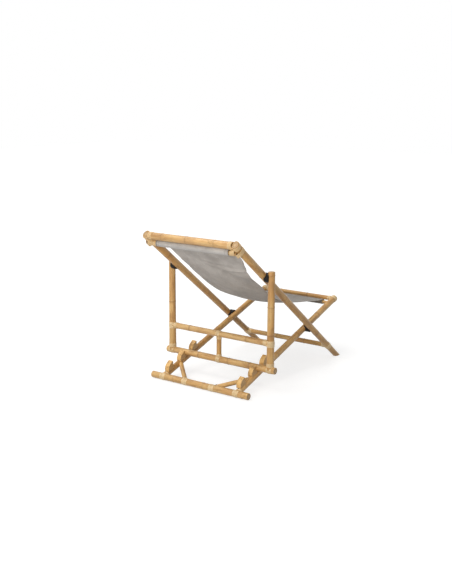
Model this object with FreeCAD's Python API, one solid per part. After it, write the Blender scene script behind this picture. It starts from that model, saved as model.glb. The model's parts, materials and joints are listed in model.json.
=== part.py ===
import FreeCAD, Part
import math
import os

# Folding deck chair of bamboo poles with a canvas sling. Millimetres, +Z up, front of the chair towards -Y.
# Left is -X and right is +X. Three hinged frames: the long back frame, the seat frame and the prop frame.

# Back frame
back_slope = 38.7            # degrees above the floor
back_rail_length = 1209.0    # along the pole axis, from the floor to the top end
back_rail_half_gap = 270.0   # pole axis to the middle of the chair
back_rail_foot_radius = 15.5
back_rail_top_radius = 19.5
foot_cut = 40.0              # length of rail that the floor cuts away
top_bar_radius = 18.5
top_bar_drop = 11.0          # bar axis below the rails' top ends
stretcher_radius = 13.0
stretcher_height = 128.0     # along the rail from the floor
top_rod_radius = 10.5
top_rod_drop = 40.0          # rod axis below the rails' top ends
top_rod_notch = 7.5          # how deep the rod is let into the rails
top_rod_overhang = -2.0      # rod end past the rail's axis

# Seat frame
seat_slope = 17.9
seat_rail_length = 968.0
seat_side_step = 39.0        # from a back rail's axis in to the seat rail's axis
seat_rail_rear_radius = 15.5
seat_rail_front_radius = 16.5
floor_bar_radius = 17.0
floor_bar_overhang = 72.0    # bar end past the seat rail's axis
floor_bar_reach = 885.0      # from the back rails' feet to the floor bar, along the floor
front_bar_radius = 12.0
front_bar_drop = 12.0        # bar axis behind the rails' front ends
front_rod_radius = 9.0
front_rod_drop = 60.0        # rod axis behind the rails' front ends
front_rod_mortise = 8.0      # how far the rod's ends enter the rails
block_places = (53.0, 153.0, 255.0)   # along the rail from the floor bar
block_height = 53.0          # top of a block above the rail's axis
block_width = 26.0
block_inset = 4.0            # how far a block stands in from the rail's axis
block_rear_reach = 25.0      # from the block's middle to its rear edge
block_front_reach = 17.5     # from the block's middle to the resting bar
block_hook_reach = 19.0      # from the block's middle to its highest point
block_back_height = 34.0     # where the block's rear edge starts to bend forwards
block_back_step = 7.0        # how far the rear edge has moved forwards there
block_shoulder_height = 46.0
block_shoulder_reach = -2.0
block_seat_share = 0.85      # share of the rail's radius at which a block's under side lies
block_toe = 4.0              # how far the block's foot runs on under the resting bar
nest_angles = (218, 180, 142)         # where the block's front follows the resting bar, in degrees
brace_radius = 11.5
left_brace_foot = 83.0       # across the floor bar from the middle
right_brace_foot = 86.0
left_brace_head = 137.0      # along the rail from the floor bar
right_brace_head = 142.0

# Prop frame
prop_side_step = 41.0        # from a back rail's axis out to the post's axis
post_past_pivot = 31.8       # post end above the pivot
post_lean = 1.3              # degrees towards the front
post_foot_radius = 18.5
post_top_radius = 17.0
rest_bar_radius = 17.0
rest_bar_overhang = 31.0     # bar end past the post's axis
rest_bar_notch = 1           # index of the block that the rest bar stands against
middle_bar_radius = 15.3
middle_bar_height = 133.0    # above the rest bar, along the posts
spindle_radius = 12.5
spindle_place = 4.0          # across, from the middle

# Joint hardware
saddle_radius = 24.0
saddle_depth = 14.0          # from the meeting face to the tips of the wings
bolt_radius = 3.0
bolt_head_radius = 6.0
bolt_head_thickness = 3.0
bolt_recess = 9.0            # depth of the head's and the nut's counterbore
plug_thickness = 5.0
dowel_radius = 4.0
dowel_length = 46.0
nail_radius = 1.3
nail_head_radius = 3.0
nail_head_thickness = 1.2
nail_length = 17.0
saddle_rounding = 2.0

# Bindings
peel_thickness = 1.6
cuff_width = 18.0
short_cuff_width = 10.8      # on the braces and the spindle
jacket_share = 0.72          # width of the rod binding's under part, as a share of the rail's radius
corner_seam = 1.0            # between the rod binding and the corner binding
wrap_width = 32.0
narrow_wrap_width = 24.0
rod_wrap_width = 27.0

# Sling
sling_thickness = 1.4
hem_half_width = 219.0
waist_half_width = 185.0
seat_half_width = 190.0
sling_dip = 20.0             # how much lower the middle of the cloth hangs than its edges
trim_allowance = 12.0        # how much wider the cloth is made before its sides are trimmed
edge_steps = 14              # how many lengths the cloth's faces are drawn through
shoulder_half_width = 209.0
shoulder_run = 116.0         # from the hem to the shoulder, seen from above
waist_run = 190.0            # from the hem to where the cloth has drawn in
hem_run = 12.0               # straight side of the hem, seen from above
seat_run = 60.0              # straight side beside the front rod, seen from above
# The cloth's edge between its two rods: share of the way from the front rod, and the drop
# below the straight line between the rods.
sling_hang = (
    (0.08, 28.0), (0.175, 53.0), (0.31, 91.0), (0.42, 115.0), (0.51, 122.0),
    (0.60, 111.0), (0.73, 82.0), (0.82, 48.0), (0.91, 13.0),
)

# Clearances
seam_gap = 0.15              # between fitted pieces of one frame
rest_gap = 0.4               # between the rest bar and what it stands on
running_gap = 0.05           # bolts and dowels in their holes
turning_gap = 0.3            # between the two saddles of a hinge
sleeve_gap = 0.3             # cloth sleeve round its rod

# Culm details
node_height = 0.9
node_half_width = 5.0
end_rounding = 2.2
seam_turn = -90.0            # degrees that turn a culm's seam line away from its holes

# Where the nodes are, as shares of each pole's length, for the left and the right pole
back_node_shares = {
    -1: (0.241, 0.385, 0.571, 0.769), 1: (0.199, 0.347, 0.505, 0.662, 0.839),
}
seat_node_shares = {-1: (0.372, 0.579, 0.795), 1: (0.341, 0.496, 0.723, 0.878)}
post_node_shares = {-1: (0.360, 0.643, 0.965), 1: (0.532,)}

# Sizes that follow from the ones above
seat_rail_half_gap = back_rail_half_gap - seat_side_step
prop_half_gap = back_rail_half_gap + prop_side_step
floor_bar_half_length = seat_rail_half_gap + floor_bar_overhang
rest_bar_half_length = prop_half_gap + rest_bar_overhang
brace_foot = {-1: left_brace_foot, 1: right_brace_foot}
brace_head = {-1: left_brace_head, 1: right_brace_head}
past_ends = 2 * rest_bar_half_length      # half the width of cuts that go right through
past_cut = 4 * back_rail_foot_radius      # how far a pole's cutting shape runs past its ends

V = FreeCAD.Vector
AXIS_X = V(1, 0, 0)


def direction(degrees):
    """Unit vector in the YZ plane, an angle above the rearward floor direction."""
    angle = math.radians(degrees)
    return V(0, math.cos(angle), math.sin(angle))


def cylinder(start, along, radius, length):
    return Part.makeCylinder(radius, length, start, along)


def fuse_all(shapes):
    body = shapes[0]
    for shape in shapes[1:]:
        body = body.fuse(shape)
    return body.removeSplitter()


def cut_all(shape, tools):
    for tool in tools:
        shape = shape.cut(tool)
    return shape


class Pole:
    """One bamboo culm: a tapered round pole with a raised ring at each node."""

    def __init__(self, start, end, start_radius, end_radius, nodes=()):
        self.start = start
        self.end = end
        self.length = (end - start).Length
        self.along = (end - start) * (1.0 / self.length)
        self.start_radius = start_radius
        self.end_radius = end_radius
        self.nodes = nodes

    def radius(self, place):
        share = place / self.length
        return self.start_radius + (self.end_radius - self.start_radius) * share

    def point(self, place):
        return self.start + self.along * place

    def turned(self, solid):
        turn = FreeCAD.Rotation(V(0, 0, 1), self.along)
        spin = FreeCAD.Rotation(V(0, 0, 1), seam_turn)
        solid.Placement = FreeCAD.Placement(self.start, turn.multiply(spin))
        return solid

    def solid(self):
        """The culm itself, turned round its axis from one outline."""
        rounding = end_rounding
        slant = rounding * (1 - math.sqrt(0.5))
        low = self.radius(0)
        high = self.radius(self.length)
        edges = [Part.LineSegment(V(0, 0, 0), V(low - rounding, 0, 0)).toShape()]
        bend = Part.Arc(V(low - rounding, 0, 0), V(low - slant, 0, slant), V(low, 0, rounding))
        edges.append(bend.toShape())
        last = V(low, 0, rounding)
        for node in self.nodes:
            before = V(self.radius(node - node_half_width), 0, node - node_half_width)
            crest = V(self.radius(node) + node_height, 0, node)
            after = V(self.radius(node + node_half_width), 0, node + node_half_width)
            edges.append(Part.LineSegment(last, before).toShape())
            edges.append(Part.Arc(before, crest, after).toShape())
            last = after
        top = V(high, 0, self.length - rounding)
        edges.append(Part.LineSegment(last, top).toShape())
        bend = Part.Arc(
            top, V(high - slant, 0, self.length - slant), V(high - rounding, 0, self.length)
        )
        edges.append(bend.toShape())
        edges.append(
            Part.LineSegment(V(high - rounding, 0, self.length), V(0, 0, self.length)).toShape()
        )
        edges.append(Part.LineSegment(V(0, 0, self.length), V(0, 0, 0)).toShape())
        face = Part.Face(Part.Wire(edges))
        return self.turned(face.revolve(V(0, 0, 0), V(0, 0, 1), 360))

    def piece(self, low, high, grow):
        """A plain length of the pole between two places, grown outwards."""
        cone_length = high - low
        first = self.radius(low) + grow
        second = self.radius(high) + grow
        if abs(first - second) < 1e-6:
            return cylinder(self.point(low), self.along, first, cone_length)
        return Part.makeCone(first, second, cone_length, self.point(low), self.along)

    def clearance(self, grow=seam_gap, past=0.0):
        """What a neighbour is cut by: the pole, its nodes and a seam."""
        rings = [
            self.piece(node - node_half_width, node + node_half_width, grow + node_height)
            for node in self.nodes
        ]
        return [self.piece(-past, self.length + past, grow)] + rings

    def wrap(self, place, width):
        return self.piece(place - width / 2, place + width / 2, peel_thickness)


def across(x, centre):
    return V(x, centre.y, centre.z)


back_dir = direction(back_slope)
back_under = V(0, back_dir.z, -back_dir.y)      # square to the back rails, on their under side
seat_dir = direction(180 - seat_slope)
seat_up = V(0, seat_dir.z, -seat_dir.y)
post_dir = direction(90 + post_lean)

floor_bar_z = floor_bar_radius + peel_thickness
foot = V(0, 0, 0)
top = foot + back_dir * back_rail_length
floor_bar_centre = V(0, floor_bar_reach, floor_bar_z)
seat_front = floor_bar_centre + seat_dir * seat_rail_length


def seat_radius(place):
    share = place / seat_rail_length
    return seat_rail_rear_radius + (seat_rail_front_radius - seat_rail_rear_radius) * share


rest_place = block_places[rest_bar_notch] + block_front_reach + rest_bar_radius + rest_gap
rest_offset = seat_radius(rest_place) + rest_bar_radius + rest_gap + node_height
rest_centre = floor_bar_centre + seat_dir * rest_place + seat_up * rest_offset


def crossing(start, along, other_start, other_along):
    """Where two lines in the YZ plane meet."""
    gap = other_start - start
    turn = along.y * other_along.z - along.z * other_along.y
    share = (gap.y * other_along.z - gap.z * other_along.y) / turn
    return start + along * share


seat_pivot = crossing(foot, back_dir, floor_bar_centre, seat_dir)
prop_pivot = crossing(foot, back_dir, rest_centre, post_dir)
seat_pivot_on_back = (seat_pivot - foot).Length
seat_pivot_on_seat = (seat_pivot - floor_bar_centre).Length
prop_pivot_on_back = (prop_pivot - foot).Length
prop_pivot_on_post = (prop_pivot - rest_centre).Length
post_length = prop_pivot_on_post + post_past_pivot
post_top = rest_centre + post_dir * post_length

top_rod_place = back_rail_length - top_rod_drop
front_rod_place = seat_rail_length - front_rod_drop
front_bar_place = seat_rail_length - front_bar_drop
top_bar_place = back_rail_length - top_bar_drop

# Poles of the three frames
SIDES = (-1, 1)
SIDE_NAMES = {-1: "left", 1: "right"}


def node_places(shares, length):
    return [share * length for share in shares]


back_rails = {}
seat_rails = {}
posts = {}
for side in SIDES:
    nodes = [
        place + foot_cut for place in node_places(back_node_shares[side], back_rail_length)
    ]
    taper = (back_rail_top_radius - back_rail_foot_radius) / back_rail_length
    back_rails[side] = Pole(
        across(side * back_rail_half_gap, foot - back_dir * foot_cut),
        across(side * back_rail_half_gap, top),
        back_rail_foot_radius - taper * foot_cut, back_rail_top_radius, nodes,
    )
    seat_rails[side] = Pole(
        across(side * seat_rail_half_gap, floor_bar_centre),
        across(side * seat_rail_half_gap, seat_front),
        seat_rail_rear_radius, seat_rail_front_radius,
        node_places(seat_node_shares[side], seat_rail_length),
    )
    posts[side] = Pole(
        across(side * prop_half_gap, rest_centre), across(side * prop_half_gap, post_top),
        post_foot_radius, post_top_radius, node_places(post_node_shares[side], post_length),
    )


def cross_pole(centre, half_length, radius, node_shares=()):
    """A pole that runs across the chair, its nodes at shares of its half length from the middle."""
    places = [half_length * (1 + share) for share in node_shares]
    return Pole(across(-half_length, centre), across(half_length, centre), radius, radius, places)


top_bar = cross_pole(
    foot + back_dir * top_bar_place, back_rail_half_gap, top_bar_radius, (-0.556, 0.074, 0.63)
)
stretcher = cross_pole(
    foot + back_dir * stretcher_height, back_rail_half_gap, stretcher_radius, (-0.444, 0.222)
)
top_rod_offset = (
    back_rails[1].radius(top_rod_place + foot_cut) + top_rod_radius - top_rod_notch
)
top_rod_centre = foot + back_dir * top_rod_place + back_under * top_rod_offset
top_rod = cross_pole(top_rod_centre, back_rail_half_gap + top_rod_overhang, top_rod_radius)
floor_bar = cross_pole(
    floor_bar_centre, floor_bar_half_length, floor_bar_radius, (-0.884, -0.099, 0.528)
)
front_bar = cross_pole(
    floor_bar_centre + seat_dir * front_bar_place, seat_rail_half_gap, front_bar_radius,
    (-0.26, 0.519),
)
front_rod_centre = floor_bar_centre + seat_dir * front_rod_place
front_rod_half_length = (
    seat_rail_half_gap - seat_radius(front_rod_place) + front_rod_mortise
)
front_rod = cross_pole(front_rod_centre, front_rod_half_length, front_rod_radius)
rest_bar = cross_pole(
    rest_centre, rest_bar_half_length, rest_bar_radius, (-0.556, -0.175, 0.38)
)
middle_bar_centre = rest_centre + post_dir * middle_bar_height
middle_bar = cross_pole(
    middle_bar_centre, prop_half_gap, middle_bar_radius, (-0.547, 0.0, 0.611)
)
spindle = Pole(
    across(spindle_place, rest_centre), across(spindle_place, middle_bar_centre),
    spindle_radius, spindle_radius,
)
braces = {}
for side in SIDES:
    head = seat_rails[side].point(brace_head[side])
    braces[side] = Pole(
        across(side * brace_foot[side], floor_bar_centre), head, brace_radius, brace_radius
    )

parts = {}


def hinge_side(pole, x_face, outward, centre):
    """One black saddle: a disc with wings that hug its pole, on one side of the meeting face."""
    start = V(x_face, centre.y, centre.z)
    disc = Part.makeCylinder(saddle_radius, saddle_depth, start, V(outward, 0, 0))
    rim = disc.Edges[0] if abs(disc.Edges[0].BoundBox.XMin - x_face) > 1 else disc.Edges[2]
    disc = disc.makeFillet(saddle_rounding, [rim])
    return cut_all(disc, pole.clearance())


def hinge(side, outer, outer_place, inner, inner_place, centre):
    """Saddles, bolt, nut, plugs and holes where two poles turn on each other."""
    outer_x = abs(outer.start.x)
    inner_x = abs(inner.start.x)
    outer_face = outer_x - outer.radius(outer_place)
    inner_face = inner_x + inner.radius(inner_place)
    meeting = (outer_face + inner_face) / 2
    outer_saddle = hinge_side(outer, side * (meeting + turning_gap / 2), side, centre)
    inner_saddle = hinge_side(inner, side * (meeting - turning_gap / 2), -side, centre)
    hole_radius = bolt_radius + running_gap
    outer_end = outer_x + outer.radius(outer_place)
    inner_end = inner_x - inner.radius(inner_place)
    head_seat = outer_end - bolt_recess
    nut_seat = inner_end + bolt_recess
    outward = V(side, 0, 0)
    hole = cylinder(V(side * inner_end, centre.y, centre.z), outward, hole_radius,
                    outer_end - inner_end)
    recess_radius = bolt_head_radius + turning_gap
    head_recess = cylinder(V(side * head_seat, centre.y, centre.z), outward, recess_radius,
                           2 * bolt_recess)
    nut_recess = cylinder(V(side * nut_seat, centre.y, centre.z), outward * -1, recess_radius,
                          2 * bolt_recess)
    shaft = cylinder(V(side * (nut_seat - bolt_head_thickness), centre.y, centre.z), outward,
                     bolt_radius, head_seat - nut_seat + bolt_head_thickness)
    head_start = head_seat + turning_gap
    head = cylinder(V(side * head_start, centre.y, centre.z), outward, bolt_head_radius,
                    bolt_head_thickness)
    shaft = shaft.fuse(cylinder(V(side * head_seat, centre.y, centre.z), outward, bolt_radius,
                                2 * turning_gap))
    bolt = shaft.fuse(head).removeSplitter()
    nut = cylinder(V(side * (nut_seat - turning_gap), centre.y, centre.z), outward * -1,
                   bolt_head_radius, bolt_head_thickness)
    nut = nut.cut(cylinder(V(side * nut_seat, centre.y, centre.z), outward * -1,
                           bolt_radius + running_gap, 2 * bolt_head_thickness))
    plug_radius = recess_radius - running_gap
    outer_plug = cylinder(V(side * (outer_end - plug_thickness), centre.y, centre.z), outward,
                          plug_radius, plug_thickness)
    inner_plug = cylinder(V(side * (inner_end + plug_thickness), centre.y, centre.z),
                          outward * -1, plug_radius, plug_thickness)
    outer_plug = outer_plug.common(outer.piece(0, outer.length, 0))
    inner_plug = inner_plug.common(inner.piece(0, inner.length, 0))
    return {
        "outer_saddle": outer_saddle.cut(hole),
        "inner_saddle": inner_saddle.cut(hole),
        "bolt": bolt, "nut": nut, "outer_plug": outer_plug, "inner_plug": inner_plug,
        "outer_cuts": [hole, head_recess], "inner_cuts": [hole, nut_recess],
    }


def joint_dowel(side, x_start, centre):
    """A wooden pin from a rail into the end of the bar that butts against it."""
    start = V(side * x_start, centre.y, centre.z)
    inward = V(-side, 0, 0)
    pin = cylinder(start, inward, dowel_radius, dowel_length)
    hole = cylinder(start + inward * -running_gap, inward, dowel_radius + running_gap,
                    dowel_length + 2 * running_gap)
    return pin, hole


def binding(ring_pole, ring_place, ring_width, cuff_pole, cuff_start, cuff_end, others=()):
    """Peel wound round a joint: a wide band on one pole and a cuff on the pole that meets it."""
    ring = ring_pole.wrap(ring_place, ring_width)
    cuff = cuff_pole.piece(cuff_start, cuff_end, peel_thickness)
    body = ring.fuse(cuff)
    tools = ring_pole.clearance(past=past_cut) + cuff_pole.clearance()
    for other in others:
        tools = tools + other.clearance()
    return cut_all(body, tools).removeSplitter()


def binding_nail(pole, cuff_start, cuff_end):
    """A nail through the cuff of a binding into the pole under it, its head let in flush."""
    place = (cuff_start + peel_thickness + cuff_end) / 2
    outward = V(0, 0, 1) - pole.along * pole.along.z
    outward = outward * (1 / outward.Length)
    point = pole.point(place) + outward * (pole.radius(place) + peel_thickness)
    inward = outward * -1
    shank = cylinder(point, inward, nail_radius, nail_length)
    head = cylinder(point, inward, nail_head_radius, nail_head_thickness)
    body = shank.fuse(head).removeSplitter()
    hole = cylinder(point - inward * nail_length, inward, nail_head_radius + running_gap,
                    nail_head_thickness + running_gap + nail_length)
    hole = hole.fuse(cylinder(point, inward, nail_radius + running_gap,
                              nail_length + running_gap))
    return body, hole


def group(solids):
    return Part.makeCompound(solids)


# Back frame
back_pins = []
seat_pins = []
prop_pins = []
nails = []
floor_holes = []
bolts = []
nuts = []
back_plugs = []
seat_plugs = []
prop_plugs = []
bar_holes = {"top_bar": [], "stretcher": [], "front_bar": [], "middle_bar": []}
floor_trim = Part.makeBox(
    2 * past_ends, past_ends, past_ends, V(-past_ends, -past_ends / 2, -past_ends)
)

for side in SIDES:
    name = SIDE_NAMES[side]
    rail = back_rails[side]
    seat_rail = seat_rails[side]
    post = posts[side]
    seat_hinge = hinge(
        side, rail, seat_pivot_on_back + foot_cut, seat_rail, seat_pivot_on_seat, seat_pivot
    )
    prop_hinge = hinge(
        side, post, prop_pivot_on_post, rail, prop_pivot_on_back + foot_cut, prop_pivot
    )
    bolts = bolts + [seat_hinge["bolt"], prop_hinge["bolt"]]
    nuts = nuts + [seat_hinge["nut"], prop_hinge["nut"]]
    pin_start = back_rail_half_gap
    top_pin, top_hole = joint_dowel(side, pin_start, top_bar.start)
    low_pin, low_hole = joint_dowel(side, pin_start, stretcher.start)
    front_pin, front_hole = joint_dowel(side, seat_rail_half_gap, front_bar.start)
    middle_pin, middle_hole = joint_dowel(side, prop_half_gap, middle_bar.start)
    back_pins = back_pins + [top_pin, low_pin]
    seat_pins.append(front_pin)
    prop_pins.append(middle_pin)
    bar_holes["top_bar"].append(top_hole)
    bar_holes["stretcher"].append(low_hole)
    bar_holes["front_bar"].append(front_hole)
    bar_holes["middle_bar"].append(middle_hole)

    # Rails and posts
    rail_cuts = [floor_trim, top_hole, low_hole]
    rail_cuts = rail_cuts + seat_hinge["outer_cuts"] + prop_hinge["inner_cuts"]
    rail_cuts = rail_cuts + top_rod.clearance()
    parts["back_rail_" + name] = cut_all(rail.solid(), rail_cuts)
    rod_socket = cylinder(
        across(side * (front_rod_half_length + seam_gap), front_rod_centre), V(-side, 0, 0),
        front_rod_radius + seam_gap, 3 * front_rod_mortise,
    )
    seat_cuts = [front_hole, rod_socket] + seat_hinge["inner_cuts"] + floor_bar.clearance()
    brace = braces[side]
    rail_cuff_end = block_places[0] - block_rear_reach - 2 * seam_gap
    brace_cuff_end = floor_bar_radius + short_cuff_width
    rail_nail, rail_nail_hole = binding_nail(seat_rail, floor_bar_radius, rail_cuff_end)
    brace_nail, brace_nail_hole = binding_nail(brace, floor_bar_radius, brace_cuff_end)
    nails = nails + [rail_nail, brace_nail]
    floor_holes.append(brace_nail_hole)
    parts["seat_rail_" + name] = cut_all(seat_rail.solid(), seat_cuts + [rail_nail_hole])
    post_cuts = [middle_hole] + prop_hinge["outer_cuts"] + rest_bar.clearance()
    parts["prop_post_" + name] = cut_all(post.solid(), post_cuts)
    brace_cuts = floor_bar.clearance() + seat_rail.clearance() + [brace_nail_hole]
    parts["seat_brace_" + name] = cut_all(brace.solid(), brace_cuts)

    # Hinge pieces
    parts["back_saddle_seat_" + name] = seat_hinge["outer_saddle"]
    parts["seat_saddle_" + name] = seat_hinge["inner_saddle"]
    parts["back_saddle_prop_" + name] = prop_hinge["inner_saddle"]
    parts["prop_saddle_" + name] = prop_hinge["outer_saddle"]
    back_plugs = back_plugs + [seat_hinge["outer_plug"], prop_hinge["inner_plug"]]
    seat_plugs.append(seat_hinge["inner_plug"])
    prop_plugs.append(prop_hinge["outer_plug"])

    # Notch blocks
    for number, place in enumerate(block_places, start=1):
        middle = seat_rail.point(place)
        low = seat_radius(place) * block_seat_share

        def at(forward, up):
            point = middle + seat_dir * forward + seat_up * up
            return V(point.x - side * (block_inset + block_width / 2), point.y, point.z)

        hold = rest_bar_radius + rest_gap
        bar_forward = block_front_reach + hold
        bar_up = rest_offset
        nest = []
        for angle in nest_angles:
            turn = math.radians(angle)
            nest.append(at(bar_forward + hold * math.cos(turn), bar_up + hold * math.sin(turn)))
        rear_low = at(-block_rear_reach, low)
        rear_mid = at(block_back_step - block_rear_reach, block_back_height)
        shoulder = at(block_shoulder_reach, block_shoulder_height)
        hook = at(block_hook_reach, block_height)
        front_low = at(block_front_reach + block_toe, low)
        edges = [
            Part.LineSegment(front_low, nest[0]).toShape(),
            Part.Arc(nest[0], nest[1], nest[2]).toShape(),
            Part.LineSegment(nest[2], hook).toShape(),
            Part.LineSegment(hook, shoulder).toShape(),
            Part.Arc(shoulder, rear_mid, rear_low).toShape(),
            Part.LineSegment(rear_low, front_low).toShape(),
        ]
        outline = Part.Face(Part.Wire(edges))
        block = outline.extrude(V(side * block_width, 0, 0))
        cuff_room = seat_rail.piece(0, rail_cuff_end + seam_gap, peel_thickness + seam_gap)
        block = cut_all(block, seat_rail.clearance() + brace.clearance() + [cuff_room])
        parts["notch_block_%s_%d" % (name, number)] = block

    # Bindings
    rail_edge = back_rail_half_gap - rail.radius(top_bar_place + foot_cut)

    def cuff_span(bar, x_touch):
        low_x = x_touch - cuff_width if side > 0 else -x_touch
        place = low_x - bar.start.x
        reach = back_rail_top_radius
        if side > 0:
            return place, place + cuff_width + reach
        return place - reach, place + cuff_width

    corner_low = top_rod_place + rod_wrap_width / 2 + corner_seam + foot_cut
    corner_high = back_rail_length - end_rounding + foot_cut
    corner_place = (corner_low + corner_high) / 2
    corner_width = corner_high - corner_low
    start, end = cuff_span(top_bar, rail_edge)
    parts["top_corner_binding_" + name] = binding(
        rail, corner_place, corner_width, top_bar, start, end, (top_rod,)
    )
    stretcher_edge = back_rail_half_gap - rail.radius(stretcher_height + foot_cut)
    start, end = cuff_span(stretcher, stretcher_edge)
    parts["stretcher_binding_" + name] = binding(
        rail, stretcher_height + foot_cut, wrap_width, stretcher, start, end
    )
    front_place = front_bar_place - narrow_wrap_width / 2 + front_bar_radius - end_rounding
    front_edge = seat_rail_half_gap - seat_radius(front_bar_place)
    start, end = cuff_span(front_bar, front_edge)
    parts["front_corner_binding_" + name] = binding(
        seat_rail, front_place, narrow_wrap_width, front_bar, start, end
    )
    middle_edge = prop_half_gap - post.radius(middle_bar_height)
    start, end = cuff_span(middle_bar, middle_edge)
    parts["middle_bar_binding_" + name] = binding(
        post, middle_bar_height, wrap_width, middle_bar, start, end
    )
    rest_ring = rest_bar_half_length + side * prop_half_gap
    parts["rest_bar_binding_" + name] = binding(
        rest_bar, rest_ring, wrap_width, post, 0.0, rest_bar_radius + cuff_width
    )
    floor_ring = floor_bar_half_length + side * seat_rail_half_gap
    rail_foot_binding = binding(
        floor_bar, floor_ring, wrap_width, seat_rail, 0.0, rail_cuff_end
    )
    parts["floor_bar_binding_" + name] = rail_foot_binding.cut(rail_nail_hole)
    brace_ring = floor_bar_half_length + side * brace_foot[side]
    brace_foot_binding = binding(
        floor_bar, brace_ring, wrap_width, brace, 0.0, brace_cuff_end
    )
    parts["brace_binding_" + name] = brace_foot_binding.cut(brace_nail_hole)
    rod_place = top_rod_place + foot_cut
    sleeve = rail.wrap(rod_place, rod_wrap_width)
    jacket_depth = top_rod_offset + top_rod_radius + peel_thickness
    jacket_half = rail.radius(rod_place) * jacket_share
    corner = rail.point(rod_place - rod_wrap_width / 2) + V(-jacket_half, 0, 0)
    jacket = Part.makePolygon([
        corner, corner + V(2 * jacket_half, 0, 0),
        corner + V(2 * jacket_half, 0, 0) + back_under * jacket_depth,
        corner + back_under * jacket_depth, corner,
    ])
    jacket = Part.Face(jacket).extrude(back_dir * rod_wrap_width)
    wrap = sleeve.fuse(jacket)
    corner_room = top_bar.piece(0, top_bar.length, peel_thickness + seam_gap)
    parts["top_rod_binding_" + name] = cut_all(
        wrap, rail.clearance() + top_rod.clearance() + [corner_room]
    )

parts["top_bar"] = cut_all(
    top_bar.solid(),
    back_rails[-1].clearance(past=past_cut) + back_rails[1].clearance(past=past_cut)
    + bar_holes["top_bar"],
)
parts["front_stretcher"] = cut_all(
    stretcher.solid(),
    back_rails[-1].clearance() + back_rails[1].clearance() + bar_holes["stretcher"],
)
parts["top_sling_rod"] = top_rod.solid()
parts["floor_bar"] = cut_all(floor_bar.solid(), floor_holes)
parts["seat_front_bar"] = cut_all(
    front_bar.solid(),
    seat_rails[-1].clearance(past=past_cut) + seat_rails[1].clearance(past=past_cut)
    + bar_holes["front_bar"],
)
parts["front_sling_rod"] = front_rod.solid()
parts["prop_rest_bar"] = rest_bar.solid()
parts["prop_middle_bar"] = cut_all(
    middle_bar.solid(),
    posts[-1].clearance() + posts[1].clearance() + bar_holes["middle_bar"],
)
parts["prop_spindle"] = cut_all(
    spindle.solid(), rest_bar.clearance() + middle_bar.clearance()
)
spindle_ring = rest_bar_half_length + spindle_place
parts["spindle_binding_lower"] = binding(
    rest_bar, spindle_ring, narrow_wrap_width, spindle, 0.0, rest_bar_radius + short_cuff_width
)
spindle_ring = prop_half_gap + spindle_place
parts["spindle_binding_upper"] = binding(
    middle_bar, spindle_ring, narrow_wrap_width, spindle,
    spindle.length - middle_bar_radius - short_cuff_width, spindle.length,
)
parts["back_dowels"] = group(back_pins)
parts["seat_dowels"] = group(seat_pins)
parts["prop_dowels"] = group(prop_pins)
parts["seat_nails"] = group(nails)
parts["pivot_bolts"] = group(bolts)
parts["pivot_nuts"] = group(nuts)
parts["back_plugs"] = group(back_plugs)
parts["seat_plugs"] = group(seat_plugs)
parts["prop_plugs"] = group(prop_plugs)


# Sling
top_sleeve_radius = top_rod_radius + sleeve_gap + sling_thickness
front_sleeve_radius = front_rod_radius + sleeve_gap + sling_thickness
top_leave = top_rod_centre - back_under * (top_sleeve_radius - sling_thickness / 2)
front_leave = front_rod_centre + seat_up * (front_sleeve_radius - sling_thickness / 2)


def hang_points(dip):
    run = top_leave - front_leave
    points = [front_leave]
    for share, drop in sling_hang:
        middle_dip = dip * math.sin(math.pi * share)
        points.append(front_leave + run * share - V(0, 0, drop + middle_dip))
    points.append(top_leave)
    return points


def strip_section(x, dip):
    """The cloth's cut edge at one place across the chair, as a thin closed outline."""
    curve = Part.BSplineCurve()
    curve.interpolate([V(x, point.y, point.z) for point in hang_points(dip)])
    lower = []
    count = edge_steps
    first = curve.FirstParameter
    span = curve.LastParameter - first
    upper = []
    for step in range(count + 1):
        value = first + span * step / count
        point = curve.value(value)
        tangent = curve.tangent(value)[0]
        normal = V(0, -tangent.z, tangent.y)
        upper.append(point + normal * (sling_thickness / 2))
        lower.append(point - normal * (sling_thickness / 2))
    top_curve = Part.BSplineCurve()
    top_curve.interpolate(upper)
    low_curve = Part.BSplineCurve()
    low_curve.interpolate(lower)
    edges = [
        top_curve.toShape(), Part.LineSegment(upper[-1], lower[-1]).toShape(),
        low_curve.toShape(), Part.LineSegment(lower[0], upper[0]).toShape(),
    ]
    return Part.Wire(edges)


stations = (-1.0, -0.66, -0.33, 0.0, 0.33, 0.66, 1.0)    # across the cloth, as shares
sections = []
for station in stations:
    sections.append(
        strip_section(
            station * (hem_half_width + trim_allowance), sling_dip * (1 - station * station)
        )
    )
cloth = Part.makeLoft(sections, True, False)


def side_trim(side):
    """What the drawn-in side of the cloth lacks, as a prism seen from above."""
    high_y = top_leave.y
    low_y = front_leave.y
    out = side * (hem_half_width + past_cut)
    level = V(0, 0, -past_ends)
    mid_y = high_y - waist_run
    points = [
        V(out, low_y - past_cut, 0), V(side * seat_half_width, low_y - past_cut, 0),
        V(side * seat_half_width, low_y + seat_run, 0),
    ]
    first = Part.LineSegment(points[0] + level, points[1] + level).toShape()
    second = Part.LineSegment(points[1] + level, points[2] + level).toShape()
    curve = Part.BSplineCurve()
    waist = side * waist_half_width
    curve.interpolate([
        points[2] + level, V(waist, (low_y + mid_y) / 2, 0) + level, V(waist, mid_y, 0) + level,
        V(side * shoulder_half_width, high_y - shoulder_run, 0) + level,
        V(side * hem_half_width, high_y - hem_run, 0) + level,
    ])
    last = V(side * hem_half_width, high_y - hem_run, 0)
    past = V(side * hem_half_width, high_y + past_cut, 0)
    corner = V(out, high_y + past_cut, 0)
    edges = [
        first, second, curve.toShape(),
        Part.LineSegment(last + level, past + level).toShape(),
        Part.LineSegment(past + level, corner + level).toShape(),
        Part.LineSegment(corner + level, points[0] + level).toShape(),
    ]
    return Part.Face(Part.Wire(edges)).extrude(V(0, 0, 3 * past_ends))


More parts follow.
